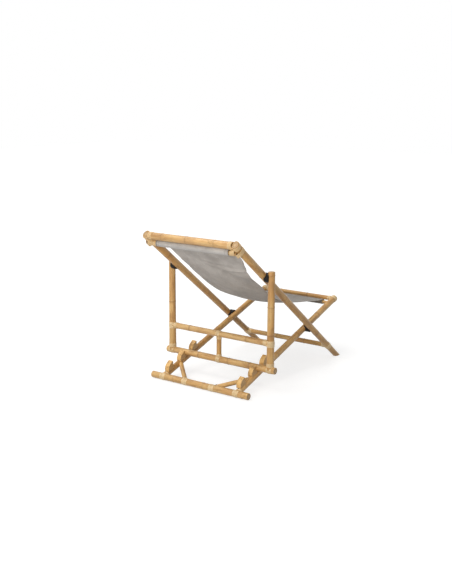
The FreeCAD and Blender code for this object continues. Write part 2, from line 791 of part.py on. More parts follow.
def sleeve_tube(centre, rod_radius, half_width):
    reach = half_width + trim_allowance
    return cylinder(
        across(-reach, centre), AXIS_X, rod_radius + sleeve_gap + sling_thickness, 2 * reach
    )


cloth = cloth.fuse(sleeve_tube(top_rod_centre, top_rod_radius, hem_half_width))
cloth = cloth.fuse(sleeve_tube(front_rod_centre, front_rod_radius, seat_half_width))
cloth = cut_all(cloth, [side_trim(-1), side_trim(1)])
rod_rooms = [
    cylinder(
        across(-past_ends, top_rod_centre), AXIS_X, top_rod_radius + sleeve_gap, 2 * past_ends
    ),
    cylinder(
        across(-past_ends, front_rod_centre), AXIS_X, front_rod_radius + sleeve_gap,
        2 * past_ends,
    ),
]
parts["sling"] = cut_all(cloth, rod_rooms)

# The origin is the middle of the chair's plan, on the floor
box = FreeCAD.BoundBox()
for shape in parts.values():
    box.add(shape.optimalBoundingBox())
shift = V(0, -(box.YMin + box.YMax) / 2, 0)

os.makedirs("parts", exist_ok=True)
for name, shape in parts.items():
    solids = [solid.copy() for solid in shape.Solids]
    result = solids[0] if len(solids) == 1 else Part.makeCompound(solids)
    result.translate(shift)
    result.exportStep("parts/%s.step" % name)
    print(name, "solids", len(solids), "volume %.0f" % result.Volume, "valid", result.isValid())

print("nodes", len(parts))
print("box %.1f %.1f %.1f" % (box.XLength, box.YLength, box.ZLength), "low", round(box.ZMin, 3))
print("seat pivot", seat_pivot + shift, "prop pivot", prop_pivot + shift)
print("foot", foot + shift, "rest bar", rest_centre + shift, "front rod", front_rod_centre + shift)
print("top rod", top_rod_centre + shift)
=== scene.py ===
# %% [markdown]
# A folding deck chair of bamboo poles with a canvas sling. The poles, blocks, saddles and bolts come ready
# made from the frame, so this file gives them their finish, winds real strips round the joints, hangs the
# cloth and sets up the studio. Everything is in metres, with the chair facing -Y and +Z up.

# %% Load the frame
import json
import math
import random

import bmesh
import bpy
from mathutils import Matrix, Vector


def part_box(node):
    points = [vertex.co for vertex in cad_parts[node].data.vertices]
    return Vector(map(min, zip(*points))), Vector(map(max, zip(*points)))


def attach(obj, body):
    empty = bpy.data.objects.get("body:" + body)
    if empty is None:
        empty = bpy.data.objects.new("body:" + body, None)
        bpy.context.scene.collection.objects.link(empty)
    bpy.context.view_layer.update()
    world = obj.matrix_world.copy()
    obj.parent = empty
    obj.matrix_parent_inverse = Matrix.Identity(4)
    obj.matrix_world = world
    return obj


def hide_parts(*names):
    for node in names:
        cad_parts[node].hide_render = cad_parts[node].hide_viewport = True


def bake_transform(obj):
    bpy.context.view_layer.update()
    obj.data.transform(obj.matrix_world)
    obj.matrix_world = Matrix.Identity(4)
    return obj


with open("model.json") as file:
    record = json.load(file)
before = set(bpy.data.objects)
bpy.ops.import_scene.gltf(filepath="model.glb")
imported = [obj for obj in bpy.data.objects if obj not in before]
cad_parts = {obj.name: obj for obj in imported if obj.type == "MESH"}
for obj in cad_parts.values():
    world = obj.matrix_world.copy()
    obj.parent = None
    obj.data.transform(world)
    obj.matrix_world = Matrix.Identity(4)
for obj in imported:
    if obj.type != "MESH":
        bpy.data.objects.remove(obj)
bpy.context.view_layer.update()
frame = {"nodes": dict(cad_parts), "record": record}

NODES = frame["nodes"]
random.seed(7)

# %% [markdown]
# A bamboo pole is a straight line with a thickness, and everything on it is measured from its foot: its
# dark rings, its grain and the strips wound round it. So each pole is written down once here, as a start,
# a direction, a length, a radius and the places of its rings. The slopes and gaps are those of the frame,
# and the middles of the two sling rods and of the rest bar are read from it.

# %% Directions and gaps
BACK_SLOPE = math.radians(38.7)
SEAT_SLOPE = math.radians(17.9)
POST_LEAN = math.radians(1.3)
ACROSS = Vector((1, 0, 0))
BACK = Vector((0, math.cos(BACK_SLOPE), math.sin(BACK_SLOPE)))
BACK_UNDER = Vector((0, BACK.z, -BACK.y))
SEAT = Vector((0, -math.cos(SEAT_SLOPE), math.sin(SEAT_SLOPE)))
SEAT_UP = Vector((0, SEAT.z, -SEAT.y))
POST = Vector((0, -math.sin(POST_LEAN), math.cos(POST_LEAN)))

# From the middle of the chair to the axes of the poles on either side
SIDES = {"left": -1, "right": 1}
BACK_GAP = 0.270
SEAT_GAP = 0.231
PROP_GAP = 0.311
BRACE_FOOT = {-1: 0.083, 1: 0.086}
BRACE_HEAD = {-1: 0.137, 1: 0.142}
SPINDLE_ACROSS = 0.004


def at(x, point):
    return Vector((x, point.y, point.z))


def middle_of(node):
    """The middle of a bar of the frame, to a hundredth of a millimetre."""
    low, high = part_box(node)
    return Vector([round((a + b) / 2, 5) for a, b in zip(low, high)])


FOOT = Vector((0, -0.4572, 0))
FLOOR_BAR = FOOT + Vector((0, 0.885, 0.0186))
REST_BAR = middle_of("prop_rest_bar")
TOP_ROD = middle_of("top_sling_rod")
FRONT_ROD = middle_of("front_sling_rod")

# %% [markdown]
# Six poles run up the slopes of the three frames and eight lie across them, and the two braces and the
# spindle stand between them. Two helpers write them down, so that each pole takes a line. The rings differ
# from pole to pole, as on grown bamboo, and a cross pole has its rings measured from its middle.

# %% The poles
BACK_LENGTH = 1.209
SEAT_LENGTH = 0.968
POST_LENGTH = 0.489
STRETCHER_PLACE = 0.128
MIDDLE_BAR_PLACE = 0.133
TOP_BAR = FOOT + BACK * (BACK_LENGTH - 0.011)
FRONT_BAR = FLOOR_BAR + SEAT * (SEAT_LENGTH - 0.012)
FLOOR_BAR_HALF = 0.303
REST_BAR_HALF = 0.342
ROD_RADIUS = 0.0105
FRONT_ROD_RADIUS = 0.009
BACK_RINGS = {-1: (0.291, 0.465, 0.690, 0.930), 1: (0.240, 0.420, 0.611, 0.800, 1.014)}
SEAT_RINGS = {-1: (0.360, 0.560, 0.770), 1: (0.330, 0.480, 0.700, 0.850)}
POST_RINGS = {-1: (0.176, 0.3144, 0.4719), 1: (0.2601,)}
poles = {}


def pole(name, start, along, length, radius, rings=()):
    """Write one pole down: rings are distances from its start, in metres."""
    poles[name] = {
        "start": start, "along": along, "length": length, "radius": radius, "rings": list(rings)
    }


def cross_pole(name, centre, half, radius, rings=()):
    """A pole that lies across the chair: its rings are written from its middle."""
    pole(name, at(-half, centre), ACROSS, 2 * half, radius, [half + ring for ring in rings])


for word, side in SIDES.items():
    pole("back_rail_" + word, at(side * BACK_GAP, FOOT), BACK, BACK_LENGTH, 0.0175, BACK_RINGS[side])
    pole("seat_rail_" + word, at(side * SEAT_GAP, FLOOR_BAR), SEAT, SEAT_LENGTH, 0.016, SEAT_RINGS[side])
    pole("prop_post_" + word, at(side * PROP_GAP, REST_BAR), POST, POST_LENGTH, 0.0178, POST_RINGS[side])
    brace_foot = at(side * BRACE_FOOT[side], FLOOR_BAR)
    brace_head = at(side * SEAT_GAP, FLOOR_BAR) + SEAT * BRACE_HEAD[side]
    brace = brace_head - brace_foot
    pole("seat_brace_" + word, brace_foot, brace.normalized(), brace.length, 0.0115)

cross_pole("top_bar", TOP_BAR, BACK_GAP, 0.0185, (-0.150, 0.020, 0.170))
cross_pole("front_stretcher", FOOT + BACK * STRETCHER_PLACE, BACK_GAP, 0.013, (-0.120, 0.060))
cross_pole("top_sling_rod", TOP_ROD, 0.268, ROD_RADIUS)
cross_pole("floor_bar", FLOOR_BAR, FLOOR_BAR_HALF, 0.017, (-0.268, -0.030, 0.160))
cross_pole("seat_front_bar", FRONT_BAR, SEAT_GAP, 0.012, (-0.060, 0.120))
cross_pole("front_sling_rod", FRONT_ROD, 0.2225, FRONT_ROD_RADIUS)
cross_pole("prop_rest_bar", REST_BAR, REST_BAR_HALF, 0.017, (-0.190, -0.060, 0.130))
cross_pole(
    "prop_middle_bar", REST_BAR + POST * MIDDLE_BAR_PLACE, PROP_GAP, 0.0153, (-0.170, 0.0, 0.190)
)
pole("prop_spindle", at(SPINDLE_ACROSS, REST_BAR), POST, MIDDLE_BAR_PLACE, 0.0125)
print("poles written down:", len(poles))

# %% [markdown]
# Every finish is a small graph of nodes. Writing each graph out in full would bury the idea, so two short
# helpers come first: one starts a material, and one adds a node, sets its values and joins its inputs.


# %% Small helpers for materials
def new_material(name, roughness, **shader_values):
    """A material, its node tree and its surface shader, with fixed numbers on the shader itself."""
    material = bpy.data.materials.new(name)
    material.use_nodes = True
    tree = material.node_tree
    shader = tree.nodes["Principled BSDF"]
    shader.inputs["Roughness"].default_value = roughness
    for label, value in shader_values.items():
        shader.inputs[label.replace("_", " ")].default_value = value
    return material, tree, shader


def add(tree, kind, links=None, inputs=None, **settings):
    """One node of that kind. links maps an input to another node's output, inputs to a plain value."""
    node = tree.nodes.new("ShaderNode" + kind)
    for key, value in settings.items():
        setattr(node, key, value)
    for key, value in (inputs or {}).items():
        node.inputs[key].default_value = value
    for key, output in (links or {}).items():
        tree.links.new(output, node.inputs[key])
    return node


# %% [markdown]
# The nodes that every finish uses get a helper each: a colour ramp, a sum, a mix of two colours, coordinates
# that run up a pole, and noise. Each gives back its output, so that one can be written inside another.


# %% Helpers for the nodes used most
def ramp(tree, factor, stops):
    """A colour ramp: stops are (place, grey) or (place, (r, g, b))."""
    node = add(tree, "ValToRGB", {"Fac": factor})
    band = node.color_ramp
    while len(band.elements) > 1:
        band.elements.remove(band.elements[-1])
    for number, (place, shade) in enumerate(stops):
        colour = (shade, shade, shade) if isinstance(shade, (int, float)) else shade
        element = band.elements[0] if number == 0 else band.elements.new(place)
        element.position = place
        element.color = (*colour, 1)
    return node.outputs["Color"]


def math_node(tree, operation, first, second=None):
    """One sum: each value is a number, or another node's output."""
    node = add(tree, "Math", operation=operation)
    for place, value in enumerate((first, second)):
        if value is None:
            continue
        if isinstance(value, (int, float)):
            node.inputs[place].default_value = value
        else:
            tree.links.new(value, node.inputs[place])
    return node.outputs[0]


def mix(tree, factor, first, second):
    """Two colours mixed: each is a colour, or another node's output."""
    node = add(tree, "Mix", data_type="RGBA")
    for place, value in ((0, factor), (6, first), (7, second)):
        if isinstance(value, bpy.types.NodeSocket):
            tree.links.new(value, node.inputs[place])
        elif place == 0:
            node.inputs[0].default_value = value
        else:
            node.inputs[place].default_value = (*value, 1)
    return node.outputs[2]


def along_pole(tree, start, along):
    """Coordinates measured from a pole's foot, with Z up the pole, so that grain follows it."""
    turn = Vector((0, 0, 1)).rotation_difference(along).to_euler()
    coordinates = add(tree, "TexCoord")
    mapped = add(
        tree, "Mapping", {"Vector": coordinates.outputs["Object"]},
        {"Location": start, "Rotation": turn}, vector_type="TEXTURE",
    )
    return mapped.outputs["Vector"], coordinates.outputs["Normal"]


def stretched(tree, vector, scale):
    """Coordinates multiplied by a scale for each axis: a larger number makes finer grain."""
    node = add(tree, "VectorMath", {0: vector}, operation="MULTIPLY")
    node.inputs[1].default_value = scale
    return node.outputs[0]


def noise(tree, vector, scale, detail=4.0, roughness=0.55, twist=0.0):
    node = add(
        tree, "TexNoise", {"Vector": vector},
        {"Scale": scale, "Detail": detail, "Roughness": roughness, "Distortion": twist},
    )
    return node.outputs["Fac"]


# %% [markdown]
# Varnished bamboo is honey coloured, with fine dark fibres that run the length of the pole and slow, darker
# stains across it. The fibres are noise squeezed round the pole and drawn out along it. Poles grow and age
# differently, so some are paler or deeper than the rest, and all have scorched patches.

# %% Bamboo: fibres and stains
HONEY = (0.70, 0.388, 0.120)
STRAW = (0.80, 0.520, 0.200)
TAN = (0.51, 0.258, 0.080)
PALE = (0.84, 0.63, 0.36)
STAINED = (0.44, 0.27, 0.10)
SCORCHED = (0.33, 0.16, 0.05)
HAIR = (0.36, 0.20, 0.075)
# How far a pole's skin is mixed towards the pale and towards the deep colour
PALE_POLES = {
    "top_bar": 0.34, "floor_bar": 0.16, "prop_rest_bar": 0.22, "prop_middle_bar": 0.38,
    "seat_rail_left": 0.14, "prop_post_right": 0.08,
}
DEEP_POLES = {"back_rail_right": 0.35, "seat_front_bar": 0.35, "seat_rail_right": 0.10}


def culm_skin(tree, place, seed, tone, pale, deep):
    """The colour of the pole's skin, with its coarse and its fine fibres."""
    shifted = add(tree, "VectorMath", {0: place}, operation="ADD")
    shifted.inputs[1].default_value = (seed, seed * 1.7, seed * 0.6)
    drawn = shifted.outputs[0]
    fibre = noise(tree, stretched(tree, drawn, (420, 420, 9)), 1.0, 5.0, 0.62)
    hair = noise(tree, stretched(tree, drawn, (1500, 1500, 22)), 1.0, 3.0, 0.6)
    stain = noise(tree, stretched(tree, drawn, (26, 26, 7)), 1.0, 4.0, 0.6, 0.3)
    blotch = noise(tree, stretched(tree, drawn, (9, 9, 3.2)), 1.0, 2.0)
    scorch = noise(tree, stretched(tree, drawn, (48, 48, 11)), 1.0, 4.0, 0.65, 0.6)
    low = 0.36 + tone
    colour = ramp(tree, stain, [(low, TAN), (low + 0.11, HONEY), (low + 0.23, STRAW)])
    colour = mix(tree, deep, mix(tree, pale, colour, PALE), TAN)
    colour = mix(tree, ramp(tree, fibre, [(0.34, 0.70), (0.60, 0.0)]), colour, TAN)
    colour = mix(tree, ramp(tree, blotch, [(0.42, 0.30), (0.60, 0.0)]), colour, STAINED)
    colour = mix(tree, ramp(tree, scorch, [(0.50, 0.0), (0.64, 0.62)]), colour, SCORCHED)
    colour = mix(tree, ramp(tree, hair, [(0.35, 0.22), (0.6, 0.0)]), colour, HAIR)
    return colour, fibre, hair


# %% [markdown]
# At each joint of the plant there is a thin dark scar with a brown blush beside it. They could be painted on
# by hand, but they are the same on every pole, so they are stops on a colour ramp that reads the distance
# from the pole's foot. How deep each one is comes from its place, so no two look alike.

# %% Bamboo: scars
SCAR = (0.20, 0.095, 0.035)
BLUSH = (0.37, 0.19, 0.065)
SCAR_OFFSET = 0.0011
SCAR_WIDTH = 0.0012
BLUSH_WIDTH = 0.013


def ring_marks(tree, height, shape, seed):
    """Two masks up the pole: the blush on the side that the shoot grew from, and the scar."""
    length = shape["length"]
    scaled = math_node(tree, "DIVIDE", height, length)
    near = SCAR_WIDTH / length
    wide = BLUSH_WIDTH / length
    blush_stops = [(0.0, 0.0)]
    scar_stops = [(0.0, 0.0)]
    for ring in shape["rings"]:
        place = (ring + SCAR_OFFSET) / length
        depth = 0.30 + 0.45 * ((ring * 37.7 + seed) % 1.0)
        blush_stops += [
            (place - wide, 0.0), (place - near, 0.55 * depth + 0.1),
            (place + near * 2, 0.3 * depth), (place + wide * 0.6, 0.0),
        ]
        scar_stops += [
            (place - 2 * near, 0.0), (place - near * 0.4, depth),
            (place + near * 0.4, 0.85 * depth), (place + 2.2 * near, 0.0),
        ]
    return ramp(tree, scaled, blush_stops), ramp(tree, scaled, scar_stops)


# %% [markdown]
# A sawn end shows pale pith, a dark inner wall and dark dots instead of skin. The same material asks which
# way the surface faces: where it faces along the pole, it is a sawn end.

# %% Bamboo: sawn ends
PITH = (0.50, 0.33, 0.15)
PITH_EDGE = (0.54, 0.35, 0.16)
DARK_WALL = (0.22, 0.12, 0.045)
WALL = (0.46, 0.28, 0.115)
OUTER_WALL = (0.48, 0.29, 0.12)
PORE = (0.20, 0.11, 0.04)
END_BANDS = [
    (0.0, PITH), (0.44, PITH_EDGE), (0.54, DARK_WALL), (0.62, WALL), (0.82, OUTER_WALL), (1.0, DARK_WALL)
]


def faces(tree, normal, direction, stops):
    """A mask of the surfaces that face along a direction, one way or the other."""
    facing = add(tree, "VectorMath", {0: normal}, operation="DOT_PRODUCT")
    facing.inputs[1].default_value = direction
    return ramp(tree, math_node(tree, "ABSOLUTE", facing.outputs["Value"]), stops)


def end_grain(tree, place, radius):
    """Rings of pith and wall by the distance from the pole's axis, with pores."""
    flat = stretched(tree, place, (1, 1, 0))
    out = add(tree, "VectorMath", {0: flat}, operation="LENGTH").outputs["Value"]
    bands = ramp(tree, math_node(tree, "DIVIDE", out, radius), END_BANDS)
    pores = add(
        tree, "TexVoronoi", {"Vector": stretched(tree, place, (900, 900, 40))}, {"Scale": 1.0}
    ).outputs["Distance"]
    return mix(tree, ramp(tree, pores, [(0.1, 0.6), (0.45, 0.0)]), bands, PORE)


# %% [markdown]
# The finish of a pole puts the skin, the scars and the sawn end together. Old varnish has a soft shine, so
# the surface itself is rather rough and a thin clear coat lies over it.


# %% Varnished bamboo
def bamboo(name, shape, seed=0.0, tone=0.0, pale=0.0, deep=0.0):
    """The finish of one pole, with rings at its own places."""
    material, tree, shader = new_material(
        name, 0.38, Coat_Weight=0.14, Coat_Roughness=0.22, Specular_IOR_Level=0.35
    )
    place, normal = along_pole(tree, shape["start"], shape["along"])
    wobble = noise(tree, stretched(tree, place, (60, 60, 4)), 1.0, 2.0)
    height = math_node(tree, "MULTIPLY_ADD", wobble, 0.0022)
    split = add(tree, "SeparateXYZ", {0: place})
    tree.links.new(split.outputs["Z"], height.node.inputs[2])

    skin, fibre, hair = culm_skin(tree, place, seed, tone, pale, deep)
    blush, scar = ring_marks(tree, height, shape, seed)
    scarred = mix(tree, scar, mix(tree, blush, skin, BLUSH), SCAR)
    sawn = faces(tree, normal, shape["along"], [(0.78, 0.0), (0.88, 1.0)])
    colour = mix(tree, sawn, scarred, end_grain(tree, place, shape["radius"]))
    tree.links.new(colour, shader.inputs["Base Color"])

    # The gloss varies a little with the grain, and fibres and scars stand in low relief
    gloss = ramp(tree, fibre, [(0.25, 0.48), (0.75, 0.30)])
    tree.links.new(gloss, shader.inputs["Roughness"])
    relief = math_node(tree, "MULTIPLY_ADD", hair, 0.25)
    tree.links.new(math_node(tree, "MULTIPLY", fibre, 0.35), relief.node.inputs[2])
    relief = math_node(tree, "SUBTRACT", relief, math_node(tree, "MULTIPLY", scar, 0.9))
    bump = add(tree, "Bump", {"Height": relief}, {"Strength": 0.35, "Distance": 0.0006})
    tree.links.new(bump.outputs["Normal"], shader.inputs["Normal"])
    return material


def paint(node, material):
    """Give a CAD node one finish all over."""
    target = NODES[node]
    target.data.materials.clear()
    target.data.materials.append(material)


for number, (name, shape) in enumerate(sorted(poles.items())):
    tone = 0.03 * math.sin(number * 2.3)
    paint(name, bamboo(
        "bamboo_" + name, shape, seed=1.37 * number, tone=tone,
        pale=PALE_POLES.get(name, 0.0), deep=DEEP_POLES.get(name, 0.0)
    ))
print("poles painted:", len(poles))

# %% [markdown]
# The notch blocks are cut from thick bamboo, so their curved edges show the skin and their flat cheeks show
# sawn fibres that run across the block. The face normal tells the two apart again.

# %% Sawn blocks
CHEEK = [(0.32, (0.29, 0.165, 0.06)), (0.50, (0.56, 0.335, 0.125)), (0.68, (0.68, 0.45, 0.19))]
BLOCK_SKIN = [(0.35, (0.46, 0.26, 0.090)), (0.50, (0.70, 0.415, 0.140)), (0.72, STRAW)]
BLOCK_DIRT = (0.30, 0.165, 0.06)
BLOCK_PLACES = (0.053, 0.153, 0.255)
BLOCK_GAP = SEAT_GAP - 0.004
BLOCK_MIDDLE = 0.03


def block_finish(name, centre, seed):
    material, tree, shader = new_material(name, 0.48, Coat_Weight=0.12, Coat_Roughness=0.3)
    place, normal = along_pole(tree, centre, SEAT)
    shifted = add(tree, "VectorMath", {0: place}, operation="ADD")
    shifted.inputs[1].default_value = (seed, seed, seed)
    drawn = shifted.outputs[0]
    grain = noise(tree, stretched(tree, drawn, (60, 260, 900)), 1.0, 4.0, 0.6)
    cloud = noise(tree, stretched(tree, drawn, (55, 55, 40)), 1.0, 3.0)
    cheek = ramp(tree, grain, CHEEK)
    skin = ramp(tree, cloud, BLOCK_SKIN)
    colour = mix(tree, faces(tree, normal, ACROSS, [(0.7, 0.0), (0.85, 1.0)]), skin, cheek)
    dirt = ramp(tree, cloud, [(0.30, 0.45), (0.50, 0.0)])
    tree.links.new(mix(tree, dirt, colour, BLOCK_DIRT), shader.inputs["Base Color"])
    bump = add(tree, "Bump", {"Height": grain}, {"Strength": 0.4, "Distance": 0.0005})
    tree.links.new(bump.outputs["Normal"], shader.inputs["Normal"])
    return material


for word, side in SIDES.items():
    for number, reach in enumerate(BLOCK_PLACES, start=1):
        centre = at(side * BLOCK_GAP, FLOOR_BAR) + SEAT * reach + SEAT_UP * BLOCK_MIDDLE
        name = "notch_block_%s_%d" % (word, number)
        paint(name, block_finish("sawn_" + name, centre, seed=number + 4 * side))
print("blocks painted:", 2 * len(BLOCK_PLACES))

# %% [markdown]
# The small parts: black saddles of moulded plastic, plated bolts and nuts, dark nails, and pale wooden pins
# and plugs. One helper serves them all, because each is a single colour that varies a little with one noise.


# %% Saddles, bolts, nails and pins
def grained(name, roughness, low, high, scale, depth, **shader_values):
    """A finish whose colour, between low and high, and whose relief come from one noise."""
    material, tree, shader = new_material(name, roughness, **shader_values)
    coordinates = add(tree, "TexCoord").outputs["Object"]
    cloud = noise(tree, stretched(tree, coordinates, scale), 1.0, 5.0, 0.6)
    tree.links.new(ramp(tree, cloud, [(0.35, low), (0.65, high)]), shader.inputs["Base Color"])
    shine = ramp(tree, cloud, [(0.3, max(roughness - 0.08, 0.05)), (0.7, roughness + 0.1)])
    tree.links.new(shine, shader.inputs["Roughness"])
    bump = add(tree, "Bump", {"Height": cloud}, {"Strength": 0.3, "Distance": depth})
    tree.links.new(bump.outputs["Normal"], shader.inputs["Normal"])
    return material


saddle_black = grained(
    "saddle_black", 0.60, low=(0.005, 0.004, 0.004), high=(0.013, 0.011, 0.010),
    scale=(900, 900, 900), depth=0.0001, Specular_IOR_Level=0.2,
)
bolt_plate = grained(
    "bolt_plate", 0.3, low=(0.50, 0.50, 0.51), high=(0.64, 0.64, 0.65),
    scale=(300, 1400, 300), depth=0.00005, Metallic=1.0,
)
nail_dark = grained(
    "nail_dark", 0.45, low=(0.05, 0.04, 0.035), high=(0.13, 0.11, 0.09),
    scale=(700, 700, 700), depth=0.0001, Metallic=0.8,
)
pin_wood = grained(
    "pin_wood", 0.55, low=(0.44, 0.27, 0.12), high=(0.62, 0.42, 0.20),
    scale=(1200, 140, 1200), depth=0.0003,
)


def small_finish(name):
    """The finish of a small part, by its name. The poles, the blocks and the bindings have none here."""
    if "saddle" in name:
        return saddle_black
    if name in ("pivot_bolts", "pivot_nuts"):
        return bolt_plate
    if name == "seat_nails":
        return nail_dark
    if "dowels" in name or "plugs" in name:
        return pin_wood
    return None


small_parts = [name for name in NODES if small_finish(name)]
for name in small_parts:
    paint(name, small_finish(name))
print("small parts painted:", len(small_parts))

# %% [markdown]
# Each joint is bound with strips of pale peel: a wide band round one pole, a short cuff on the pole that
# meets it, and two strips that cross over the band. The strips at the top of the chair have darkened to
# amber, so there are two finishes, made by one helper. The fibres follow the strip's own map, which runs
# along it and across it in metres.

# %% Peel for the bindings
PEEL_LIGHT = (0.86, 0.67, 0.39)
PEEL_MID = (0.76, 0.54, 0.26)
PEEL_DARK = (0.50, 0.31, 0.125)
AMBER_LIGHT = (0.84, 0.61, 0.32)
AMBER_MID = (0.74, 0.50, 0.23)
AMBER_DARK = (0.44, 0.26, 0.10)


def peel_finish(name, light, mid, dark):
    material, tree, shader = new_material(name, 0.34, Coat_Weight=0.3, Coat_Roughness=0.2)
    strip = add(tree, "UVMap", uv_map="strip").outputs["UV"]
    fibre = noise(tree, stretched(tree, strip, (35, 900, 1)), 1.0, 4.0, 0.6)
    cloud = noise(tree, stretched(tree, strip, (60, 60, 1)), 1.0, 3.0, 0.6)
    body = ramp(tree, cloud, [(0.32, mid), (0.60, light)])
    colour = mix(tree, ramp(tree, fibre, [(0.34, 0.6), (0.60, 0.0)]), body, dark)
    tree.links.new(colour, shader.inputs["Base Color"])
    tree.links.new(ramp(tree, fibre, [(0.3, 0.45), (0.7, 0.28)]), shader.inputs["Roughness"])
    bump = add(tree, "Bump", {"Height": fibre}, {"Strength": 0.5, "Distance": 0.0002})
    tree.links.new(bump.outputs["Normal"], shader.inputs["Normal"])
    return material


peel = peel_finish("peel_strips", PEEL_LIGHT, PEEL_MID, PEEL_DARK)
amber_peel = peel_finish("amber_peel", AMBER_LIGHT, AMBER_MID, AMBER_DARK)
print("finishes for the bindings:", peel.name, "and", amber_peel.name)

# %% [markdown]
# One strip is a thin torus drawn out along its axis until its section is flat, because a torus already has
# the soft rounded edge of a wet strip pulled tight. It is modelled round Z at the middle of the scene, and
# then stood on its pole with its place applied to the mesh, so that the object itself stays at the origin.

# %% One strip, and how to set it on a pole
STRIP_HALF = 0.0009         # half the thickness of a strip
THIN_STRIP_HALF = 0.00045   # the same, round the floor bar
STRIP_WIDTH = 0.0042
CROSSING_WIDTH = 0.0046


def nothing_selected():
    if bpy.context.object and bpy.context.object.mode != "OBJECT":
        bpy.ops.object.mode_set(mode="OBJECT")
    bpy.ops.object.select_all(action="DESELECT")


def strip_ring(radius, width, thickness):
    """One flattened strip round the Z axis, with a map that runs along and across it in metres."""
    nothing_selected()
    bpy.ops.mesh.primitive_torus_add(
        major_radius=radius, minor_radius=thickness, major_segments=36, minor_segments=6
    )
    ring = bpy.context.object
    bpy.ops.object.mode_set(mode="EDIT")
    bpy.ops.mesh.select_all(action="SELECT")
    bpy.ops.transform.resize(value=(1, 1, width / (2 * thickness)))
    bpy.ops.object.mode_set(mode="OBJECT")
    bpy.ops.object.shade_smooth()
    chart = ring.data.uv_layers.new(name="strip")
    offset = random.random()
    for loop in ring.data.loops:
        spot = ring.data.vertices[loop.vertex_index].co
        turn = math.atan2(spot.y, abs(spot.x))
        chart.data[loop.index].uv = (turn * radius + offset, spot.z + offset)
    return ring


def side_by_side(ring, count, pitch):
    """Repeat a strip up the Z axis, each row one pitch above the last."""
    rows = ring.modifiers.new("side by side", "ARRAY")
    rows.count = count
    rows.use_relative_offset = False
    rows.use_constant_offset = True
    rows.constant_offset_displace = (0, 0, pitch)
    bpy.ops.object.modifier_apply(modifier=rows.name)


def set_on(piece, start, along, place, cross):
    """Stand a piece made round Z on a pole, with its X towards the pole that meets it."""
    z_axis = along.normalized()
    x_axis = (cross - z_axis * cross.dot(z_axis)).normalized()
    y_axis = z_axis.cross(x_axis)
    turn = Matrix((x_axis, y_axis, z_axis)).transposed().to_4x4()
    piece.matrix_world = Matrix.Translation(start + along * place) @ turn
    nothing_selected()
    piece.select_set(True)
    bpy.context.view_layer.objects.active = piece
    bpy.ops.object.transform_apply(location=True, rotation=True, scale=True)
    return piece


def joined(pieces, name, finish):
    """Join strips into one piece with one finish."""
    nothing_selected()
    for piece in pieces:
        piece.select_set(True)
    bpy.context.view_layer.objects.active = pieces[0]
    bpy.ops.object.join()
    whole = bpy.context.object
    whole.name = name
    whole.data.name = name
    whole.data.materials.clear()
    whole.data.materials.append(finish)
    return whole


# %% [markdown]
# A band is strips stood beside each other with an Array modifier, because its strips are all alike. It leans
# a little to one side by chance, as a band wound by hand does. A crossing is one strip made long enough to
# go round the pole on the slant, and then tilted.

# %% Bands and crossings
BAND_LEAN = 0.010           # radians
BAND_OVERLAP = 1.06         # width of a strip, as a share of the distance to the next
BAND_RISE = 0.55            # from the pole's skin to the strip's middle, in half thicknesses
CROSSING_RISE = 1.6         # the same for a crossing, which lies over the band


def on(name, place, width, radius=None):
    """A spot for a band: its pole, the place along the pole, its width and the pole's radius there."""
    shape = poles[name]
    return {
        "start": shape["start"], "along": shape["along"], "place": place, "width": width,
        "radius": radius or shape["radius"],
    }


def band(spot, cross, thickness=STRIP_HALF):
    """Strips side by side round a pole, from one end of the band to the other."""
    count = max(2, round(spot["width"] / STRIP_WIDTH))
    pitch = spot["width"] / count
    ring = strip_ring(spot["radius"] + thickness * BAND_RISE, pitch * BAND_OVERLAP, thickness)
    side_by_side(ring, count, pitch)
    lean = BAND_LEAN * (1 if random.random() > 0.5 else -1)
    ring.data.transform(Matrix.Translation((0, 0, -spot["width"] / 2 + pitch / 2)))
    ring.data.transform(Matrix.Rotation(lean, 4, "X"))
    return set_on(ring, spot["start"], spot["along"], spot["place"], cross)


def crossing(spot, cross, tilt, thickness):
    """One strip that runs slantwise round the pole, over the band."""
    ring = strip_ring(spot["radius"] + CROSSING_RISE * thickness, CROSSING_WIDTH, thickness)
    ring.data.transform(Matrix.Diagonal((1, 1 / math.cos(tilt), 1, 1)))
    ring.data.transform(Matrix.Rotation(tilt, 4, "X"))
    return set_on(ring, spot["start"], spot["along"], spot["place"], cross)


# %% [markdown]
# A binding is a band, a cuff and two crossing strips, joined to one piece. It stands for the plain CAD
# binding at the same place, so that one is hidden, and it rides on the same body. The floor bar leaves
# little room above the floor, so thinner strips go round it.

# %% How a joint is bound
BODY_OF = {
    node: body for body, names in frame["record"]["behaviour"]["bodies"].items() for node in names
}
RAIL_TOP = 0.0194           # radius of a back rail near its top end
BAND = 0.032
CUFF = 0.020
CORNER_CUFF = 0.022
SPINDLE_BAND = 0.024
SPINDLE_CUFF = 0.012
SLANT = 0.42                # of the crossing strips, in radians
STEEP_SLANT = 0.55
SHALLOW_SLANT = 0.3
SPINDLE_SLANT = 0.36


def bind(node, ring, cuff, slant=SLANT, thin=False, finish=peel):
    """A band, a cuff and two crossing strips, in place of one CAD binding."""
    away = cuff["start"] + cuff["along"] * cuff["place"] - ring["start"] - ring["along"] * ring["place"]
    peel_half = THIN_STRIP_HALF if thin else STRIP_HALF
    pieces = [band(ring, away, peel_half), band(cuff, ring["along"])]
    for tilt in (slant, -slant):
        pieces.append(crossing(ring, away, tilt, peel_half))
    whole = joined(pieces, "wound_" + node, finish)
    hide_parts(node)
    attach(whole, BODY_OF[node])
    return whole


def end_cuff(name, side, inset, width):
    """A cuff near the left or the right end of a cross pole."""
    place = inset + width / 2
    return on(name, place if side < 0 else poles[name]["length"] - place, width)


# %% [markdown]
# Now the bindings go on, seven on each side and two on the spindle. Each call names the CAD binding, and
# then says where its band goes and where its cuff goes.

